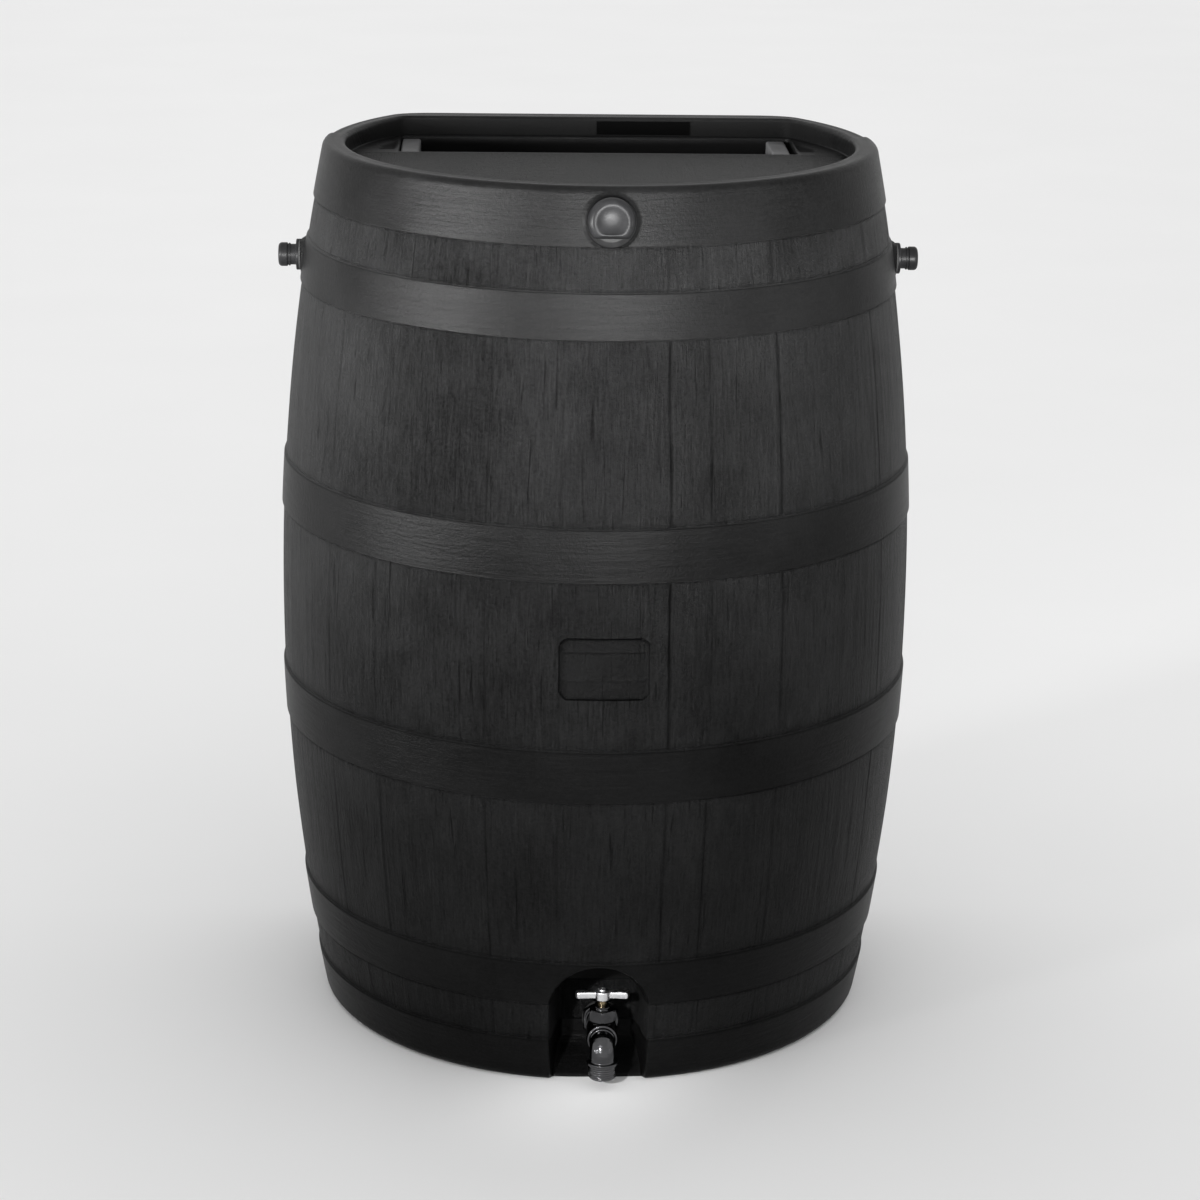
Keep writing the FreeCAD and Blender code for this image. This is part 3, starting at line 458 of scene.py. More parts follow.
def barrel_plastic(name):
    """Black moulded plastic: fibrous on the staves and deck, smooth and rubbed on the hoops."""
    shader = Shader(name, (0.008, 0.008, 0.008), 0.5, specular=0.06)
    plus, minus, times, between = shader.plus, shader.minus, shader.times, shader.between
    skin = shader.attribute("skin", "Vector")
    wood = shader.attribute("wood")
    # seam holds how deep a stave joint is, and also painted shade on the rim's inner back wall and in the slot
    # well
    seam = shader.attribute("seam")
    fibre = shader.noise(shader.stretched(skin, (430, 34, 1)), 1.0, 6, 0.75, 0.7)
    gaps = shader.noise(shader.stretched(skin, (260, 14, 1)), 1.0, 3, 0.6, 0.5)
    between_cracks = between(gaps, 0.27, 0.40)
    rings = shader.noise(shader.stretched(skin, (70, 6, 1)), 1.0, 4, 0.6, 1.6)
    pores = shader.speckle(340.0, 5, 0.7)
    cloud = shader.speckle(5.5, 5, 0.62)
    rub = shader.noise(shader.stretched(skin, (16, 190, 1)), 1.0, 5, 0.7, 0.3)

    grained = plus(times(fibre, 0.8), times(between_cracks, 0.4), times(rings, 0.45), times(pores, 0.7))
    height = plus(times(grained, wood), times(pores, 0.09), times(rub, minus(1.0, wood), 0.12))
    shader.bump(height, 0.0050, 1.0)

    streaks = times(between(fibre, 0.34, 0.66), wood)
    tone = plus(times(between(cloud, 0.32, 0.68), 0.42), times(streaks, 0.34),
                times(between(pores, 0.36, 0.64), 0.24))
    cracked = times(minus(1.0, between_cracks), wood, 0.75)
    # Darker with seam: dirt and painted shade in the stave joints, painted shade on the rim's inner back wall
    # and in the slot well; rougher there too
    tone = times(tone, minus(1.0, cracked), plus(times(wood, 0.60), 0.40), minus(1.0, seam))
    shader.tint(tone, (0.0012, 0.0012, 0.0012), (0.0200, 0.0201, 0.0203))

    shader.rough(plus(times(wood, 0.02), 0.38, times(seam, 0.4), times(minus(cloud, 0.5), 0.22),
                      times(minus(rub, 0.5), 0.10)))
    return shader.material


def fitting_plastic(name, colour, roughness, specular):
    """Injection-moulded plastic with a faint orange peel and handling marks."""
    shader = Shader(name, colour, roughness, specular=specular)
    peel = shader.speckle(260.0, 3, 0.6)
    marks = shader.speckle(38.0, 6, 0.7, 0.6)
    shader.bump(shader.plus(peel, shader.times(marks, 0.5)), 0.00012, 0.6)
    light = tuple(min(1.0, 1.6 * value) for value in colour)
    shader.tint(shader.between(marks, 0.35, 0.75), colour, light)
    shader.rough(shader.between(marks, 0.30, 0.75, roughness * 0.85, roughness * 1.25))
    return shader.material


def metal(name, colour, roughness):
    """Plated or machined metal with smudges and a fine finish."""
    shader = Shader(name, colour, roughness, metallic=1.0)
    smudge = shader.speckle(55.0, 5, 0.65, 0.8)
    fine = shader.speckle(700.0, 2, 0.5)
    cast = shader.speckle(190.0, 3, 0.6)
    shader.bump(shader.plus(shader.times(fine, 0.25), cast), 0.00006, 0.35)
    dark = tuple(0.72 * value for value in colour)
    shader.tint(shader.between(smudge, 0.30, 0.62), dark, colour)
    shader.rough(shader.between(smudge, 0.30, 0.70, roughness * 1.9, roughness * 0.8))
    return shader.material


def soft_material(name, colour, roughness, specular):
    """Rubber or fluoropolymer: matt, with a fine grain."""
    shader = Shader(name, colour, roughness, specular=specular)
    fine = shader.speckle(420.0, 4, 0.6)
    shader.bump(fine, 0.0001, 0.5)
    light = tuple(min(1.0, 1.4 * value + 0.0003) for value in colour)
    shader.tint(fine, colour, light)
    shader.rough(shader.between(fine, 0.3, 0.7, roughness * 0.92, min(1, roughness * 1.08)))
    return shader.material


def floor_material():
    shader = Shader("studio_floor", (0.86, 0.86, 0.86), 0.9, specular=0.15)
    haze = shader.speckle(2.5, 3, 0.5)
    shader.tint(haze, (0.85, 0.85, 0.85), (0.88, 0.88, 0.88))
    return shader.material


# ---- Shell: side wall with hoops, seams, plaque, niche and bosses ----

def stave_radius(height):
    return BELLY_RADIUS - STAVE_ARC + np.sqrt(STAVE_ARC ** 2 - (height - BELLY_HEIGHT) ** 2)


def hoop_share(height):
    """1 on a hoop, 0 on the staves."""
    share = np.zeros_like(height)
    for low, high in HOOPS:
        rise = smooth_step(height, low - HOOP_EDGE, low + HOOP_EDGE)
        share = np.maximum(share, rise * (1 - smooth_step(height, high - HOOP_EDGE, high + HOOP_EDGE)))
    return share


def hoop_grooves(height):
    """Depth of the shallow grooves beside the hoops' edges."""
    depth = np.zeros_like(height)
    for low, high in HOOPS:
        for centre in (low - 0.0016, high + 0.0016):
            depth = np.maximum(depth, HOOP_GROOVE * np.exp(-((height - centre) / HOOP_GROOVE_HALF) ** 2))
    return depth


def seam_depth(degrees, height):
    """Depth of the joints between staves, as a share of the deepest."""
    depth = np.zeros(np.broadcast(degrees, height).shape)
    zones = [(below[1], above[0]) for below, above in zip(HOOPS, HOOPS[1:])]
    for centre, strengths in SEAMS.items():
        wander = 0.12 * lattice_noise(height * 15, np.full_like(height, 7 * centre), 5)
        turned = (degrees - centre - wander + 180) % 360 - 180
        groove = np.exp(-(np.radians(turned) * BELLY_RADIUS / SEAM_HALF) ** 2)
        for (low, high), strength in zip(zones, strengths):
            inside = smooth_step(height, low, low + 0.004) * (1 - smooth_step(height, high - 0.004, high))
            patchy = 0.75 + 0.25 * lattice_noise(height * 40, np.full_like(height, centre), 11)
            depth = np.maximum(depth, groove * inside * strength * patchy)
    return depth


def rounded_box_distance(across, up, half, corner):
    """Distance outside a rounded rectangle about the origin, negative inside."""
    x = np.abs(across) - (half[0] - corner)
    y = np.abs(up) - (half[1] - corner)
    return np.hypot(np.maximum(x, 0), np.maximum(y, 0)) + np.minimum(np.maximum(x, y), 0) - corner


def plaque_relief(across, height):
    """Depth of the plaque: a rounded recess that holds a thin raised frame, left blank."""
    edge = rounded_box_distance(across, height - PLAQUE_LEVEL, PLAQUE_HALF, PLAQUE_CORNER)
    depth = PLAQUE_DEPTH * (1 - smooth_step(edge, -0.0022, 0.0006))
    frame_edge = rounded_box_distance(across, height - PLAQUE_FRAME_LEVEL, PLAQUE_FRAME_HALF, 0.001)
    return depth - PLAQUE_FRAME_LIFT * np.exp(-(frame_edge / 0.0009) ** 2) * (edge < -0.001)


def niche_surface(x, height, grown=0.0):
    """How far back the niche reaches at a place, for its face or for the inside of its wall."""
    above = np.maximum(height - NICHE_SPRING, 0)
    outside = np.hypot(x, above) - NICHE_HALF - grown
    wall = NICHE_BACK + grown - soft_max(outside, 0 * outside, 0.004) / NICHE_SLOPE
    ramp = NICHE_BACK + grown - (NICHE_BACK - RAMP_FOOT) * (1 - (height - grown) / RAMP_TOP)
    return soft_min(wall, ramp, RAMP_BLEND)


def boss_share(across, up, radius):
    """1 on the face of a round boss, 0 outside it."""
    return 1 - smooth_step(np.hypot(across, up), radius + BOSS_EDGE[0], radius + BOSS_EDGE[1])


def wall_points(degrees, height, inset):
    """Outer surface of the side wall, with how grained and how deep in a seam each point is."""
    angle = np.radians(degrees)
    share = hoop_share(height)
    radius = stave_radius(height) + HOOP_RISE * share - inset
    flat = (BACK - HOOP_RISE * (1 - share) - inset) / np.maximum(-np.cos(angle), 0.001)
    reach = soft_min(radius, flat, CORNER_REACH)
    around = angle * BELLY_RADIUS
    edge = smooth_step(np.abs(np.cos(angle)), 0, 0.001)
    relief = GRAIN_DEPTH * grain(around, height, 21) - SEAM_DEPTH * seam_depth(degrees, height)
    dents = 0.0003 * lattice_noise(around * 11, height * 7, 31)
    reach = reach + (1 - share) * (relief * edge - hoop_grooves(height)) - np.abs(dents)
    front = np.cos(angle) > 0.8
    reach = reach - np.where(front, plaque_relief(around, height), 0)
    x, y = reach * np.sin(angle), -reach * np.cos(angle)
    z = np.broadcast_to(height, x.shape)

    near = front & (np.abs(x) < 0.075) & (z < 0.15)
    y = np.where(near, soft_max(y, niche_surface(x, z), NICHE_LIP), y)

    face = OVERFLOW_AT.y - (z - OVERFLOW_AT.z) * OVERFLOW_OUT.z / OVERFLOW_OUT.y
    boss = boss_share(x - OVERFLOW_AT.x, z - OVERFLOW_AT.z, OVERFLOW_BOSS) * front * (z > 0.8)
    y = y + boss * (np.minimum(face, y) - y)

    boss = boss_share(y, z - NOZZLE_LEVEL, NOZZLE_BOSS)
    x = x + boss * (np.sign(x) * NOZZLE_FACE - x)
    wood = (1 - share) * (1 - 0.7 * (np.abs(plaque_relief(around, height)) > 0.0002) * front)
    seam = np.broadcast_to((1 - share) * seam_depth(degrees, height), x.shape)
    return x, y, z, wood, seam


def fitting_holes(x, y, z):
    """Points that the holes for the fittings take away. The fittings' flanges cover their edges."""
    front = y < -0.2
    overflow = (np.hypot(x - OVERFLOW_AT.x, z - OVERFLOW_AT.z) < OVERFLOW_HOLE) & front
    nozzles = np.hypot(y, z - NOZZLE_LEVEL) < NOZZLE_HOLE
    niche = front & (y > NICHE_BACK - 0.004)
    spigot = (np.hypot(x - SPIGOT_AT.x, z - SPIGOT_AT.z) < SPIGOT_HOLE) & niche
    return overflow | nozzles | spigot


def wall_columns():
    """Angles of the wall's columns: close together at the niche, the side bosses and the seams."""
    half = spaced([(0, 6.6, 0.33), (6.6, 10.8, 0.16), (10.8, 62, 0.55), (62, 86, 0.8), (86, 94, 0.4),
                   (94, 100, 0.6), (100, 124, 1.4), (124, 134, 0.9), (134, 180, 2.2)])
    angles = np.concatenate([-half[1:-1][::-1], half])
    beside = (-0.5, -0.2, 0, 0.2, 0.5)
    return with_extra(angles, [((seam + step + 180) % 360) - 180 for seam in SEAMS for step in beside], 0.12)


def wall_rows():
    """Heights of the wall's rows above the rounded bottom edge and below the rounded rim."""
    plain = spaced([(BASE_EDGE, 0.106, 0.0015), (0.106, 0.136, 0.001), (0.136, 0.395, 0.006),
                    (0.395, 0.466, 0.0013), (0.466, 0.742, 0.006), (0.742, 0.779, 0.002),
                    (0.779, 0.808, 0.005), (0.808, TOP - RIM_EDGE, 0.0016)])
    above = (0.0006, 0.001, 0.0016, 0.0022, 0.0028)
    beside = [*(-step for step in above), 0, *above]
    levels = [level for hoop in HOOPS for level in hoop if 0.01 < level < TOP]
    return with_extra(plain, [level + step for level in levels for step in beside], 0.0004)


def behind_step(degrees):
    """1 behind the small step in the rim, 0 in front of it."""
    return smooth_step(np.abs(degrees), RIM_STEP_ANGLE - 0.7, RIM_STEP_ANGLE + 0.7)


def make_side_wall(surface, tags):
    """Outer wall from the bottom ring to the top of the rim. Returns the lowest and highest rows."""
    degrees, middle = wall_columns(), wall_rows()
    rising = np.radians(np.linspace(15, 90, 6))
    falling = rising[::-1]
    height = np.concatenate([BASE_EDGE * (1 - np.sin(falling)), middle, TOP - RIM_EDGE * (1 - np.sin(rising))])
    inset = np.concatenate([BASE_EDGE * (1 - np.cos(falling)), 0 * middle, RIM_EDGE * (1 - np.cos(rising))])
    x, y, z, wood, seam = wall_points(degrees[None, :], height[:, None], inset[:, None])
    z = z - RIM_STEP * behind_step(degrees[None, :]) * smooth_step(z, 0.835, TOP)
    rows = surface.sheet(x, y, z, fitting_holes(x, y, z))
    around = np.radians(degrees) * BELLY_RADIUS
    for level, row_wood, row_seam in zip(z, wood, seam):
        tags.append((np.stack([around, level, 0 * around], 1), row_wood, row_seam))
    return degrees, rows[0], rows[-1]


# ---- Shell: rim, deck, slot well and inside ----

def deck_outline(degrees):
    """Distance of the rim's inner face from the barrel's axis."""
    flat = DECK_BACK / np.maximum(-np.cos(np.radians(degrees)), 0.001)
    return soft_min(DECK_RADIUS + 0.0018 * behind_step(degrees), flat, 0.006)


def deck_height(x, y):
    """Grained deck, folded where the smoother ends beside the slot begin."""
    fade = smooth_step(DECK_RADIUS - np.hypot(x, y), 0.003, 0.02)
    rough = 0.00028 * grain(x * 0.8, y, 61) * (1 - smooth_step(y, 0.03, 0.05))
    fold = 0.0035 * smooth_step(y, SLOT_FRONT - 0.006, SLOT_FRONT + 0.05)
    return float(DECK + fade * (rough - fold))


def tag_rows(tags, surface, start, wood, shade=lambda points: 0 * points[:, 0]):
    """Tags of the points from a start on, for parts that lie mostly level."""
    points = np.array(surface.points[start:])
    skin = np.stack([points[:, 0], points[:, 1] + points[:, 2], 0 * points[:, 0]], 1)
    tags.append((skin, wood(points), shade(points)))


def make_rim(surface, tags, degrees, top_row):
    """Top of the rim and its inner face, down to the deck's outer loop."""
    start = len(surface.points)
    outer = np.array([surface.points[number] for number in top_row])
    top = outer[:, 2]
    reach = deck_outline(degrees)[:, None]
    direction = np.stack([np.sin(np.radians(degrees)), -np.cos(np.radians(degrees))], 1)
    foot = 0.004 - 0.0025 * behind_step(degrees)
    rows = [top_row]

    def add(flat, level):
        rows.append(surface.row(np.column_stack([flat, level])))

    for share in (0.25, 0.5, 0.75):
        add(outer[:, :2] * (1 - share) + direction * (reach + RIM_ROUND) * share,
            top - RIM_CROWN * math.sin(math.pi * share))
    for turn in np.radians((90, 72, 54, 36, 18, 0)):
        add(direction * (reach + RIM_ROUND * (1 - math.cos(turn))), top - RIM_ROUND * (1 - math.sin(turn)))
    for share in (0.5, 1.0):
        add(direction * reach, (top - RIM_ROUND) * (1 - share) + (DECK + foot) * share)
    for turn in np.radians((22, 45, 67, 90)):
        add(direction * (reach - foot[:, None] * (1 - math.cos(turn))), DECK + foot * (1 - math.sin(turn)))
    surface.stack(rows)
    # The rim's inner face gets painted shade towards the back, below its rounded top; it is stored in the seam
    # attribute.
    tag_rows(tags, surface, start, lambda points: 0 * points[:, 0],
             lambda points: 0.85 * (points[:, 2] < TOP - 0.0055) * smooth_step(points[:, 1], 0.08, 0.14))
    return rows[-1]


def slot_loop(surface, grown, corner, height):
    """Rounded rectangle of points round the slot, anticlockwise from above, as the other loops are."""
    x, low, high = SLOT_HALF + grown, SLOT_FRONT - grown, SLOT_BACK + grown
    points = []
    corners = [((x - corner, low + corner), -90), ((x - corner, high - corner), 0),
               ((corner - x, high - corner), 90), ((corner - x, low + corner), 180)]
    counts = (30, 120, 30, 120)
    for (centre, start), count, (follow, _) in zip(corners, counts, corners[1:] + corners[:1]):
        for step in range(5):
            turn = math.radians(start + 90 * step / 4)
            points.append((centre[0] + corner * math.cos(turn), centre[1] + corner * math.sin(turn)))
        turn = math.radians(start + 90)
        first = Vector(points[-1])
        last = Vector((follow[0] + corner * math.cos(turn), follow[1] + corner * math.sin(turn)))
        points += [first.lerp(last, step / count) for step in range(1, count)]
    return surface.row([(point[0], point[1], height) for point in points])


def make_deck(surface, tags, outer):
    """Deck between the rim and the slot, then the well down through its ledge to the underside."""
    start = len(surface.points)
    lip, corner, inner_corner = 0.0016, 0.0045, 0.002
    levels = []
    for turn in np.radians((0, 30, 60, 90)):
        grown = lip * (1 - math.sin(turn))
        levels.append((grown, corner + grown, DECK - lip * (1 - math.cos(turn))))
    levels += [(0, corner, height) for height in (0.838, 0.828, 0.818, LEDGE + 0.0015)]
    levels += [(-0.0005, corner - 0.0005, LEDGE + 0.0004), (-0.0015, corner - 0.0015, LEDGE),
               (-LEDGE_WIDTH + 0.0006, inner_corner, LEDGE), (-LEDGE_WIDTH, inner_corner, LEDGE - 0.0006),
               (-LEDGE_WIDTH, inner_corner, LEDGE - WALL), (WALL, corner + WALL, LEDGE - WALL),
               (WALL, corner + WALL, DECK - WALL)]
    loops = [slot_loop(surface, *level) for level in levels]
    surface.stack(loops)
    inside = []
    pitch, gap, edge_gap = 0.0042, 0.0035, 0.0075
    for row, y in enumerate(np.arange(-0.24, 0.152, pitch)):
        for x in np.arange(-0.244 + pitch / 2 * (row % 2), 0.244, pitch):
            within = math.hypot(x, y) < deck_outline(np.degrees(math.atan2(x, -y))) - edge_gap
            slot = abs(x) < SLOT_HALF + gap and SLOT_FRONT - gap < y < SLOT_BACK + gap
            if within and not slot:
                inside.append((x, y))
    surface.fill(outer, loops[0], inside, deck_height)
    # Painted shade on every point below the deck's level: down the slot well, round its ledge, and where the
    # deck sinks beside and behind the slot; it is stored in the seam attribute.
    tag_rows(tags, surface, start,
             lambda points: 0.75 * (points[:, 2] > 0.843) * (points[:, 1] < SLOT_FRONT - 0.002),
             lambda points: 0.9 * (points[:, 2] < DECK - 0.002))
    return loops[-1]


def make_inside(surface, tags, well_loop):
    """Inner face of the wall, its floor, and the underside of the deck round the well."""
    start = len(surface.points)
    degrees = np.concatenate([np.arange(-180, -15, 5), np.arange(-15, 15, 1.0), np.arange(15, 180, 5)])
    angle = np.radians(degrees)[None, :]
    top = DECK - WALL
    height = np.concatenate([np.arange(WALL, 0.15, 0.008), np.arange(0.16, top - 0.01, 0.03), [top]])[:, None]
    radius = stave_radius(height) - WALL
    reach = soft_min(radius, (BACK - HOOP_RISE - WALL) / np.maximum(-np.cos(angle), 0.001), CORNER_REACH)
    x, y = reach * np.sin(angle), -reach * np.cos(angle)
    z = np.broadcast_to(height, x.shape)
    near = (np.cos(angle) > 0.8) & (z < 0.16)
    y = np.where(near, soft_max(y, niche_surface(x, z, WALL), NICHE_LIP), y)
    rows = surface.sheet(x, y, z, fitting_holes(x, y, z), flip=True)
    surface.fill(rows[0], None, [], lambda x, y: WALL)
    surface.fill(rows[-1], well_loop, [], lambda x, y: top, flip=True)
    tag_rows(tags, surface, start, lambda points: 0 * points[:, 0])


def make_base(surface, tags, ring):
    """Underside: a shallow dished centre inside the ring that the barrel stands on."""
    start = len(surface.points)
    points = np.array([surface.points[number] for number in ring])
    rows = [ring]
    for share, lift in ((0.97, 0.0), (0.955, 0.0012), (0.94, 0.0015)):
        rows.append(surface.row(np.column_stack([points[:, :2] * share, 0 * points[:, 0] + lift])))
    surface.stack(rows, flip=True)
    surface.fill(rows[-1], None, [], lambda x, y: 0.0015, flip=True)
    tag_rows(tags, surface, start, lambda points: 0 * points[:, 0])


def make_shell():
    """Barrel moulding. Its material finds the grain by the attributes skin and wood, and by seam the dirt and
    painted shade of the stave joints and the painted shade on the rim's inner back wall and in the slot well.
    """
    surface, tags = Surface(), []
    degrees, bottom_row, top_row = make_side_wall(surface, tags)
    deck_loop = make_rim(surface, tags, degrees, top_row)
    well_loop = make_deck(surface, tags, deck_loop)
    make_inside(surface, tags, well_loop)
    make_base(surface, tags, bottom_row)
    piece = surface.build("barrel_shell_moulding")
    kinds = (("skin", "FLOAT_VECTOR", "vector"), ("wood", "FLOAT", "value"), ("seam", "FLOAT", "value"))
    for (name, kind, field), parts in zip(kinds, zip(*tags)):
        values = np.concatenate(parts).astype(np.float32)
        piece.data.attributes.new(name, kind, "POINT").data.foreach_set(field, values.ravel())
    finish_piece(piece, 55, "barrel", "barrel_plastic", "barrel_shell")


# ---- Spigot ----

def applied(piece):
    """Replace a piece's mesh by the result of its modifiers."""
    bpy.context.view_layer.update()
    graph = bpy.context.evaluated_depsgraph_get()
    mesh = bpy.data.meshes.new_from_object(piece.evaluated_get(graph))
    piece.modifiers.clear()
    piece.data = mesh
    return piece


def cast_together(surface, name, voxel, rounds):
    """Merge overlapping closed shells into one casting with soft inside corners."""
    piece = surface.build(name)
    remesh = piece.modifiers.new("merge", "REMESH")
    remesh.mode = "VOXEL"
    remesh.voxel_size = voxel
    ease = piece.modifiers.new("ease", "SMOOTH")
    ease.factor = 0.5
    ease.iterations = rounds
    return applied(piece)


def hollow(piece, cutter_surface):
    """Cut closed shells out of a piece."""
    cutter = cutter_surface.build(piece.name + "_space")
    cut = piece.modifiers.new("cut", "BOOLEAN")
    cut.operation = "DIFFERENCE"
    cut.object = cutter
    cut.solver = "EXACT"
    cut.use_self = True
    applied(piece)
    bpy.data.objects.remove(cutter)
    return piece


def rod(surface, radius, start, end, at, along, sides):
    """Closed bar along an axis."""
    lathe(surface, [(0, start), (radius, start), (radius, end), (0, end)], at, along, sides)


SPIGOT_FACE = Vector((SPIGOT_AT.x, NICHE_BACK, SPIGOT_AT.z))
SPIGOT_OUT = (0, -1, 0)
OUTLET_AXIS = Vector((SPIGOT_AT.x, NICHE_BACK - 0.062, 0))
STEM_FOOT = Vector((SPIGOT_AT.x, SPIGOT_AT.y, 0))


def bent_bar(surface, radius, bend, starts, end, step, sides):
    """Bar along the flow, round a bend and down the outlet. Distances are from where the two axes meet."""
    corner = Vector((OUTLET_AXIS.x, OUTLET_AXIS.y, SPIGOT_AT.z))
    path = [corner + Vector((0, start, 0)) for start in starts]
    for turn in np.radians(np.arange(0, 91, step)):
        path.append(corner + Vector((0, bend * (1 - math.sin(turn)), -bend * (1 - math.cos(turn)))))
    path.append(corner - Vector((0, 0, end)))
    tube(surface, path, radius, sides)


def make_spigot_body():
    """Cast body: tail, hexagon, ball chamber, bend, threaded outlet and neck, with its waterway open."""
    surface = Surface()
    tail = [(0, -0.026), (0.0128, -0.026), (0.0132, -0.0254), *thread(0.0132, 0.0122, -0.024, -0.004, 0.0018),
            (0.0132, -0.002), (0.0132, 0.004), (0, 0.004)]
    lathe(surface, tail, SPIGOT_FACE, SPIGOT_OUT)
    hex_nut(surface, 0.034, 0.002, 0.008, 0.0016, 0.006, SPIGOT_FACE, SPIGOT_OUT)
    chamber = [(0, 0.004), (0.0135, 0.004), (0.0135, 0.0245), (0.0142, 0.0255), (0.015, 0.0275),
               (0.015, 0.0505), (0.0143, 0.0525), (0.0125, 0.0535), (0.0122, 0.056), (0, 0.056)]
    lathe(surface, chamber, SPIGOT_FACE, SPIGOT_OUT)
    bent_bar(surface, 0.0122, 0.013, [0.030], 0.0215, 9, 64)
    outlet = [(0, 0.012), (0.0124, 0.012), (0.0127, 0.0128)]
    for start in np.arange(0.0130, 0.0245, 0.0022):
        outlet += [(0.01349, start + 0.0006), (0.01349, start + 0.0010), (0.0122, start + 0.0018)]
    outlet += [(0.0124, 0.026), (0.0147, 0.0262), (0.0151, 0.0268), (0.0151, 0.0286), (0.0146, 0.029),
               (0.0120, 0.0294), (0.0120, 0.036), (0, 0.036)]
    lathe(surface, outlet, OUTLET_AXIS, UP)
    neck = [(0, 0.046), (0.0115, 0.046), (0.0115, 0.0602), (0.0108, 0.061), (0.009, 0.0612), (0.009, 0.068),
            (0, 0.068)]
    lathe(surface, neck, STEM_FOOT, UP)
    piece = cast_together(surface, "spigot_casting", 0.0005, 3)
    space = Surface()
    rod(space, 0.0114, -0.03, 0.0516, SPIGOT_FACE, SPIGOT_OUT, 48)
    rod(space, 0.0045, 0.044, 0.0605, STEM_FOOT, UP, 48)
    rod(space, 0.0067, 0.060, 0.075, STEM_FOOT, UP, 48)
    hollow(piece, space)
    way = Surface()
    bent_bar(way, 0.007, 0.010, [0.014, 0.0105], 0.041, 10, 48)
    hollow(piece, way)
    finish_piece(piece, 40, "barrel", "plated_metal", "spigot_body")


def make_packing_nut():
    """Chamfered hexagon with a round crown, threaded on the neck."""
    surface = Surface()
    place = Matrix.Translation(STEM_FOOT)
    profile = ((0.0092, 0.062), (0.0116, 0.062), (0.0128, 0.0625), (0.0139, 0.0634), (0.0139, 0.0726),
               (0.0128, 0.0735), (0.0116, 0.074), (0.0088, 0.0741), (0.0085, 0.0746), (0.0085, 0.0764),
               (0.0079, 0.077), (0.0045, 0.077), (0.0045, 0.0685), (0.0092, 0.0685))
    rows = [surface.ring(place, height, hexagon(0.024, limit), HEX_SIDES) for limit, height in profile]
    surface.stack([*rows, rows[0]])
    finish_piece(surface.build("packing_nut_turned"), 30, "barrel", "plated_metal", "packing_nut")


def make_handle():
    """Tee handle: a rounded bar, thicker at its ends, through a hub socketed for the stem and the screw."""
    surface = Surface()
    bottom, thick, half, end_round, squareness, thinnest = 0.0835, 0.008, 0.026, 0.0035, 3.2, 0.0001
    rows = []
    for reach in [-half * math.cos(math.radians(turn)) for turn in range(0, 181, 5)]:
        end = math.sqrt(max(0.0, 1 - (max(abs(reach) - half + end_round, 0) / end_round) ** 2))
        waist = 0.86 + 0.14 * float(smooth_step(abs(reach), 0.012, 0.024))
        across = max(thinnest, thick / 2 * waist * end)
        tall = max(thinnest, thick / 2 * (0.9 + 0.1 * waist) * (0.25 + 0.75 * end))
        points = []
        for turn in np.radians(np.arange(0, 360, 7.5)):
            c, s = math.cos(turn), math.sin(turn)
            scale = (abs(c) ** squareness + abs(s) ** squareness) ** (-1 / squareness)
            points.append((SPIGOT_AT.x + reach, SPIGOT_AT.y + across * scale * c,
                           bottom + thick / 2 + tall * scale * s))
        rows.append(surface.row(points))
    surface.stack(rows, flip=True)
    surface.cap(rows[0])
    surface.cap(rows[-1], flip=True)
    hub = [(0, -0.001), (0.0062, -0.001), (0.0072, -0.0004), (0.0075, 0.0008), (0.0075, 0.0072),
           (0.0070, 0.0081), (0.0058, 0.0085), (0, 0.0085)]
    lathe(surface, hub, STEM_FOOT + Vector((0, 0, bottom)), UP)
    piece = cast_together(surface, "tee_handle", 0.0004, 4)
    space = Surface()
    rod(space, 0.0021, 0.080, 0.100, STEM_FOOT, UP, 32)
    block(space, STEM_FOOT, (0.0028, 0.0028), 0.080, 0.0906)
    hollow(piece, space)
    finish_piece(piece, 35, "valve_control", "plated_metal", "spigot_handle", "bright_handle")


def make_handle_screw():
    """Pan-head screw with a cross slot."""
    surface = Surface()
    profile = [(0, -0.008), (0.0015, -0.008), *thread(0.0019, 0.0016, -0.0076, -0.0004, 0.0008),
               (0.0019, -0.0001), (0.0038, 0.0), (0.0038, 0.0006), (0.0034, 0.0014), (0.0025, 0.0019),
               (0.0012, 0.002), (0, 0.002)]
    seat = STEM_FOOT + Vector((0, 0, 0.092))
    lathe(surface, profile, seat, UP, 48)
    piece = surface.build("handle_screw_head")
    space = Surface()
    for half in ((0.0022, 0.0004), (0.0004, 0.0022)):
        block(space, seat, half, seat.z + 0.0007, seat.z + 0.0025, 0.8)
    hollow(piece, space)
    finish_piece(piece, 30, "valve_control", "screw_steel", "handle_screw")


# ---- Side nozzles and front plug ----

def turned_ring(name, profile, at, out, sides=64):
    """Closed profile turned about an axis."""
    surface = Surface()
    rows = lathe(surface, profile, at, out, sides)
    surface.bridge(rows[-1], rows[0])
    return surface.build(name)


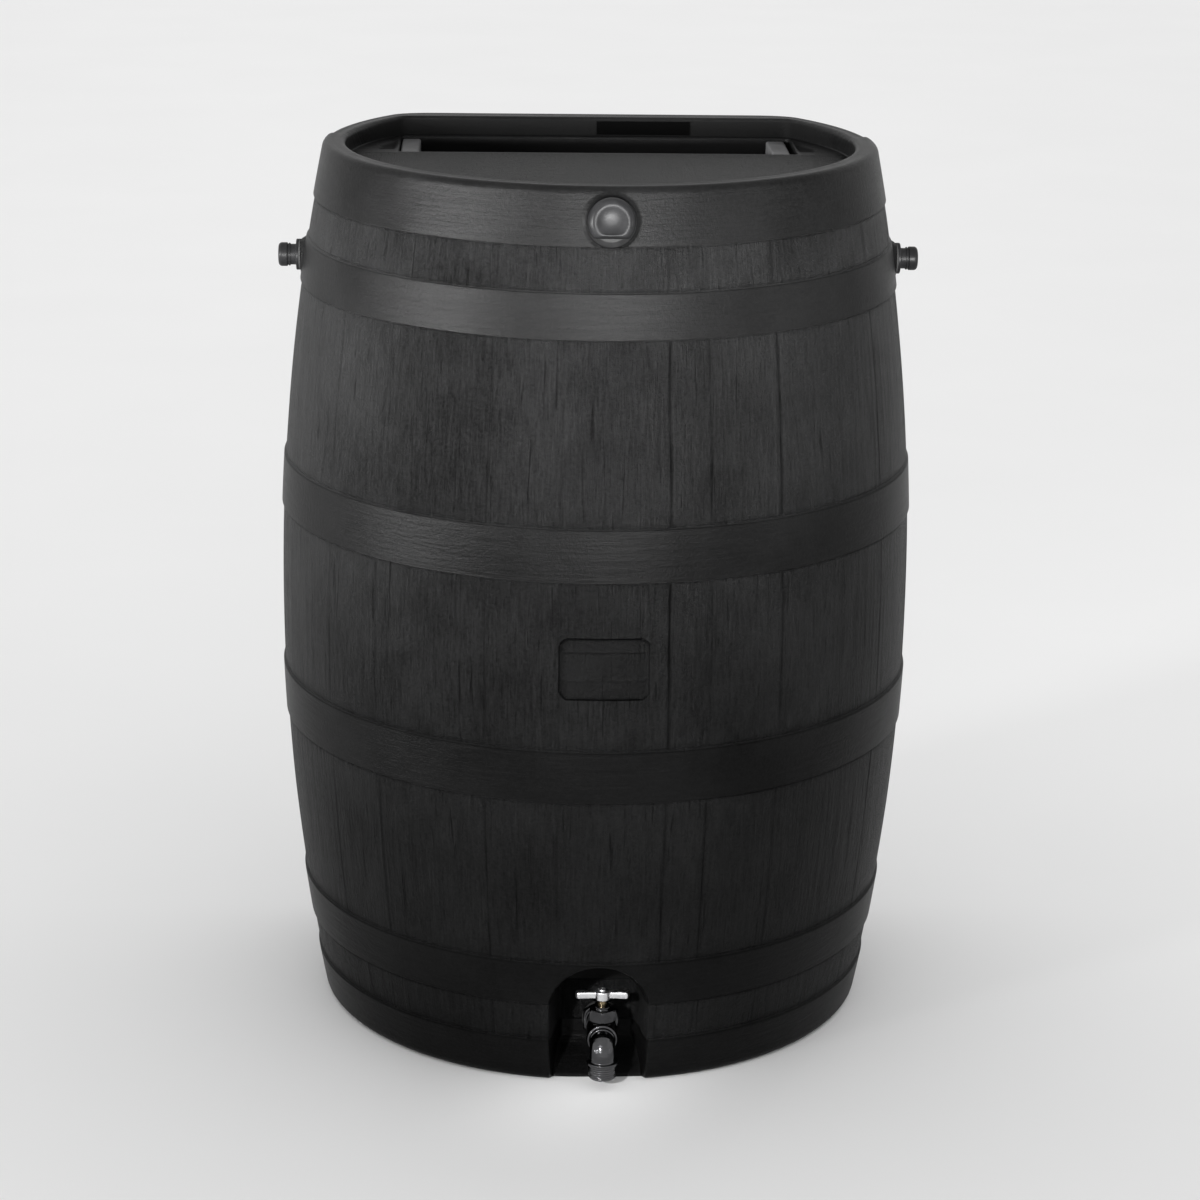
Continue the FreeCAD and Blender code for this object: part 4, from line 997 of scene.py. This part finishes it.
def make_nozzle(side, sign):
    """Threaded nozzle with a rounded flange, and its screw cap."""
    at, out = (sign * NOZZLE_FACE, 0, NOZZLE_LEVEL), (sign, 0, 0)
    profile = [(0.007, -0.024), (0.0098, -0.024), (0.0102, -0.0236),
               *thread(0.0102, 0.0093, -0.0225, -0.004, 0.002), (0.0102, -0.002), (0.0102, 0.0015),
               (0.0147, 0.0015), (0.015, 0.0019), (0.015, 0.0035), (0.0146, 0.004), (0.0108, 0.0041),
               (0.0101, 0.0047), (0.010, 0.0055), (0.010, 0.0108), (0.0096, 0.011),
               *thread(0.0096, 0.0088, 0.0113, 0.0160, 0.0016), (0.0094, 0.0168), (0.0091, 0.0172),
               (0.0072, 0.0172), (0.007, 0.0170)]
    piece = turned_ring(side + "_nozzle_turned", profile, at, out)
    finish_piece(piece, 30, "barrel", "fitting_plastic", side + "_nozzle")
    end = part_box("right_cap")[1].x - NOZZLE_FACE
    inner = ((0, 0.002), (0.0090, 0.002), (0.0099, 0.0024), (0.0099, 0.0115))
    outer = ((0.0106, 0.0115), (0.0110, 0.0112), (0.0110, 0.0102), (0.0104, 0.0099), (0.0103, 0.0090),
             (0.0112, 0.0087), (0.0115, 0.0083), (0.0115, 0.0045))
    profile = [(radius, end - back) for radius, back in (*inner, *outer)]
    profile += [(0.0080 + 0.0035 * math.cos(turn), end - 0.0035 * (1 - math.sin(turn)))
                for turn in np.radians(np.linspace(0, 90, 9))]
    profile += [(0.0050, end - 0.0002), (0, end - 0.0003)]
    surface = Surface()
    lathe(surface, profile, at, out)
    piece = surface.build(side + "_cap_turned")
    finish_piece(piece, 30, side + "_nozzle_cap", "fitting_plastic", side + "_cap")


def make_bushing():
    """Threaded bushing with a beaded flange."""
    profile = [(0.0126, -0.017), (0.0149, -0.017), (0.0152, -0.0166),
               *thread(0.0152, 0.0143, -0.016, -0.002, 0.002), (0.0152, -0.001), (0.0152, 0.0012),
               (0.0232, 0.0012), (0.0236, 0.0016), (0.0236, 0.0026), (0.0229, 0.0033), (0.0222, 0.0035),
               (0.0130, 0.0035), (0.0126, 0.0031)]
    piece = turned_ring("overflow_bushing_turned", profile, OVERFLOW_AT, OVERFLOW_OUT, 96)
    # The bushing takes a darker copy of the fitting plastic: painted shade under the plug head.
    finish_piece(piece, 30, "barrel", "fitting_plastic", "overflow_bushing", "fitting_painted_shade")


def flattened(radius, limit, down):
    """Radius at each angle of a circle that is cut flat underneath, at a distance from its centre."""
    def reach(turn):
        below = math.cos(turn) * down.x + math.sin(turn) * down.y
        return float(soft_min(radius, limit / below, 0.003)) if below > 0.05 else radius
    return reach


def make_plug():
    """Plug head: a dished dome, flat underneath with rounded corners, on a hollow shank."""
    start, end, flat, uncut = 0.0047, 0.0227, 0.0150, 1
    place = Matrix.Translation(OVERFLOW_AT) @ turn_to(OVERFLOW_OUT)
    down = (place.inverted().to_3x3() @ Vector((0, 0, -1))).to_2d().normalized()
    profile = [(0.0001, start - 0.002, uncut), (0.0095, start - 0.002, uncut), (0.0095, -0.0145, uncut),
               (0.0125, -0.0145, uncut), (0.0125, start, uncut), (0.0200, start, flat - 0.001),
               (0.0209, start + 0.0004, flat - 0.0003), (0.0215, start + 0.0015, flat),
               (0.0215, start + 0.0085, flat)]
    for turn in np.radians(np.arange(10, 91, 10)):
        profile.append((0.0150 + 0.0065 * math.cos(turn), start + 0.0100 + 0.0080 * math.sin(turn),
                        flat - 0.0030 * (1 - math.cos(turn))))
    dish = ((0.0138, 0.0001), (0.0125, 0.0005), (0.0108, 0.0011), (0.0085, 0.0017), (0.0055, 0.0022),
            (0.0025, 0.0024), (0.0001, 0.0024))
    profile += [(radius, end - depth, flat - 0.0032) for radius, depth in dish]
    surface = Surface()
    rows = [surface.ring(place, height, flattened(radius, limit, down), 144)
            for radius, height, limit in profile]
    surface.stack(rows)
    surface.cap(rows[0], flip=True)
    surface.cap(rows[-1])
    finish_piece(surface.build("overflow_plug_head"), 40, "front_plug", "plug_plastic", "overflow_plug")


# ---- Debris screen ----

def make_soft_copy(node, width, segments, slot):
    """Copy of one of the debris screen's CAD nodes, with rounded edges."""
    mesh = frame["nodes"][node].data.copy()
    piece = bpy.data.objects.new(node + "_soft", mesh)
    bpy.context.scene.collection.objects.link(piece)
    flat = bmesh.new()
    flat.from_mesh(mesh)
    bmesh.ops.remove_doubles(flat, verts=flat.verts, dist=1e-6)
    bmesh.ops.dissolve_limit(flat, angle_limit=math.radians(1), verts=flat.verts, edges=flat.edges)
    flat.to_mesh(mesh)
    flat.free()
    bevel = piece.modifiers.new("edges", "BEVEL")
    bevel.width = width
    bevel.segments = segments
    bevel.angle_limit = math.radians(35)
    applied(piece)
    finish_piece(piece, 30, "debris_screen", slot, node)


# ---- Camera, light and floor ----

CAMERA_AT = (-0.1002, -3.1377, 1.3635)
CAMERA_PITCH = 17.03
CAMERA_TURN = 1.93
CAMERA_ROLL = 0.76
LENS = 98.0
SENSOR = 36.0


def make_camera():
    """Camera that looks along +Y, turned to the right, pitched down and rolled, in degrees."""
    pitch, turn, roll = (math.radians(value) for value in (CAMERA_PITCH, CAMERA_TURN, CAMERA_ROLL))
    aim = Matrix.Rotation(-turn, 4, "Z") @ Matrix.Rotation(math.pi / 2 - pitch, 4, "X")
    data = bpy.data.cameras.new("camera")
    data.lens = LENS
    data.sensor_width = SENSOR
    camera = bpy.data.objects.new("camera", data)
    camera.matrix_world = Matrix.Translation(CAMERA_AT) @ aim @ Matrix.Rotation(roll, 4, "Z")
    bpy.context.scene.collection.objects.link(camera)
    bpy.context.scene.camera = camera


def soft_box(name, at, towards, size, power, spread):
    """Rectangular lamp; spread, in degrees, is the width of its beam."""
    data = bpy.data.lights.new(name, "AREA")
    data.spread = math.radians(spread)
    data.shape = "RECTANGLE"
    data.size, data.size_y = size
    data.energy = power
    lamp = bpy.data.objects.new(name, data)
    lamp.location = at
    lamp.rotation_euler = (Vector(towards) - Vector(at)).to_track_quat("-Z", "Y").to_euler()
    bpy.context.scene.collection.objects.link(lamp)


def make_studio():
    scene = bpy.context.scene
    scene.view_settings.view_transform = "Standard"
    world = bpy.data.worlds.new("studio")
    world.use_nodes = True
    world.node_tree.nodes["Background"].inputs[0].default_value = (1, 1, 1, 1)
    world.node_tree.nodes["Background"].inputs[1].default_value = 0.95
    scene.world = world
    soft_box("front", (0.1, -4.6, 0.98), (0, 0, 0.98), (1.7, 0.5), 13, 18)
    soft_box("front_right", (0.9, -4.5, 0.98), (0, 0, 0.98), (1.2, 0.5), 5, 18)
    soft_box("key", (-3.2, -2.4, 1.2), (0, 0, 0.98), (0.7, 0.6), 10, 24)
    soft_box("key_low", (-3.6, -1.2, 0.62), (0, 0, 0.72), (0.5, 0.6), 2.5, 16)
    soft_box("right", (3.4, -1.6, 1.0), (0, 0, 0.98), (0.8, 0.6), 1.2, 24)
    soft_box("low", (-1.1, -2.7, 1.35), (0.004, -0.24, 0.055), (0.14, 0.14), 0.10, 4.0)
    reach = 30
    mesh = bpy.data.meshes.new("floor")
    mesh.from_pydata([(-reach, -reach, 0), (reach, -reach, 0), (reach, reach, 0), (-reach, reach, 0)], [],
                     [(0, 1, 2, 3)])
    floor = bpy.data.objects.new("floor", mesh)
    mesh.materials.append(floor_material())
    scene.collection.objects.link(floor)


# ---- Build ----

make_camera()
make_studio()
LOOKS = {
    "barrel_plastic": (barrel_plastic,),
    "label_film": (soft_material, (0.0003, 0.0003, 0.0003), 0.7, 0.01),
    "brass": (metal, (0.30, 0.24, 0.15), 0.25),
    # plated_metal is chrome darkened to near black: painted shade for the dark niche that it reflects; the
    # handle keeps bright chrome.
    "plated_metal": (metal, (0.085, 0.085, 0.088), 0.13),
    "bright_handle": (metal, (0.86, 0.86, 0.87), 0.22),
    "screw_steel": (metal, (0.62, 0.62, 0.63), 0.24),
    "ball_chrome": (metal, (0.8, 0.8, 0.82), 0.05),
    "seat_ptfe": (soft_material, (0.8, 0.8, 0.78), 0.5, 0.25),
    "seal_rubber": (soft_material, (0.014, 0.014, 0.014), 0.75, 0.25),
    "fitting_plastic": (fitting_plastic, (0.006, 0.006, 0.0063), 0.42, 0.09),
    # The bushing's plastic, darker than the other fittings: painted shade under the plug head.
    "fitting_painted_shade": (fitting_plastic, (0.0025, 0.0025, 0.0026), 0.5, 0.04),
    "plug_plastic": (fitting_plastic, (0.0075, 0.0075, 0.0078), 0.36, 0.085),
    # The debris screen's plastics are darker than the other black plastics: painted shade for the shadowed
    # slot.
    "screen_plastic": (fitting_plastic, (0.002, 0.002, 0.002), 0.6, 0.05),
    "screen_mesh": (fitting_plastic, (0.002, 0.002, 0.002), 0.5, 0.05),
    "grip_plastic": (fitting_plastic, (0.060, 0.060, 0.061), 0.5, 0.15),
}
MATERIALS = {name: make(name, *look) for name, (make, *look) in LOOKS.items()}
node_slots = {part["node"]: part["material_slot"] for part in frame["record"]["subparts"]}
for node, item in frame["nodes"].items():
    cover(item, MATERIALS[node_slots[node]], 30)

make_shell()
make_spigot_body()
make_packing_nut()
make_handle()
make_handle_screw()
for side, sign in (("left", -1), ("right", 1)):
    make_nozzle(side, sign)
make_bushing()
make_plug()
make_soft_copy("screen_frame", 0.0008, 3, "screen_plastic")
make_soft_copy("screen_grille", 0.0004, 2, "screen_mesh")
for side in ("left", "right"):
    make_soft_copy(side + "_grip", 0.0009, 3, "grip_plastic")
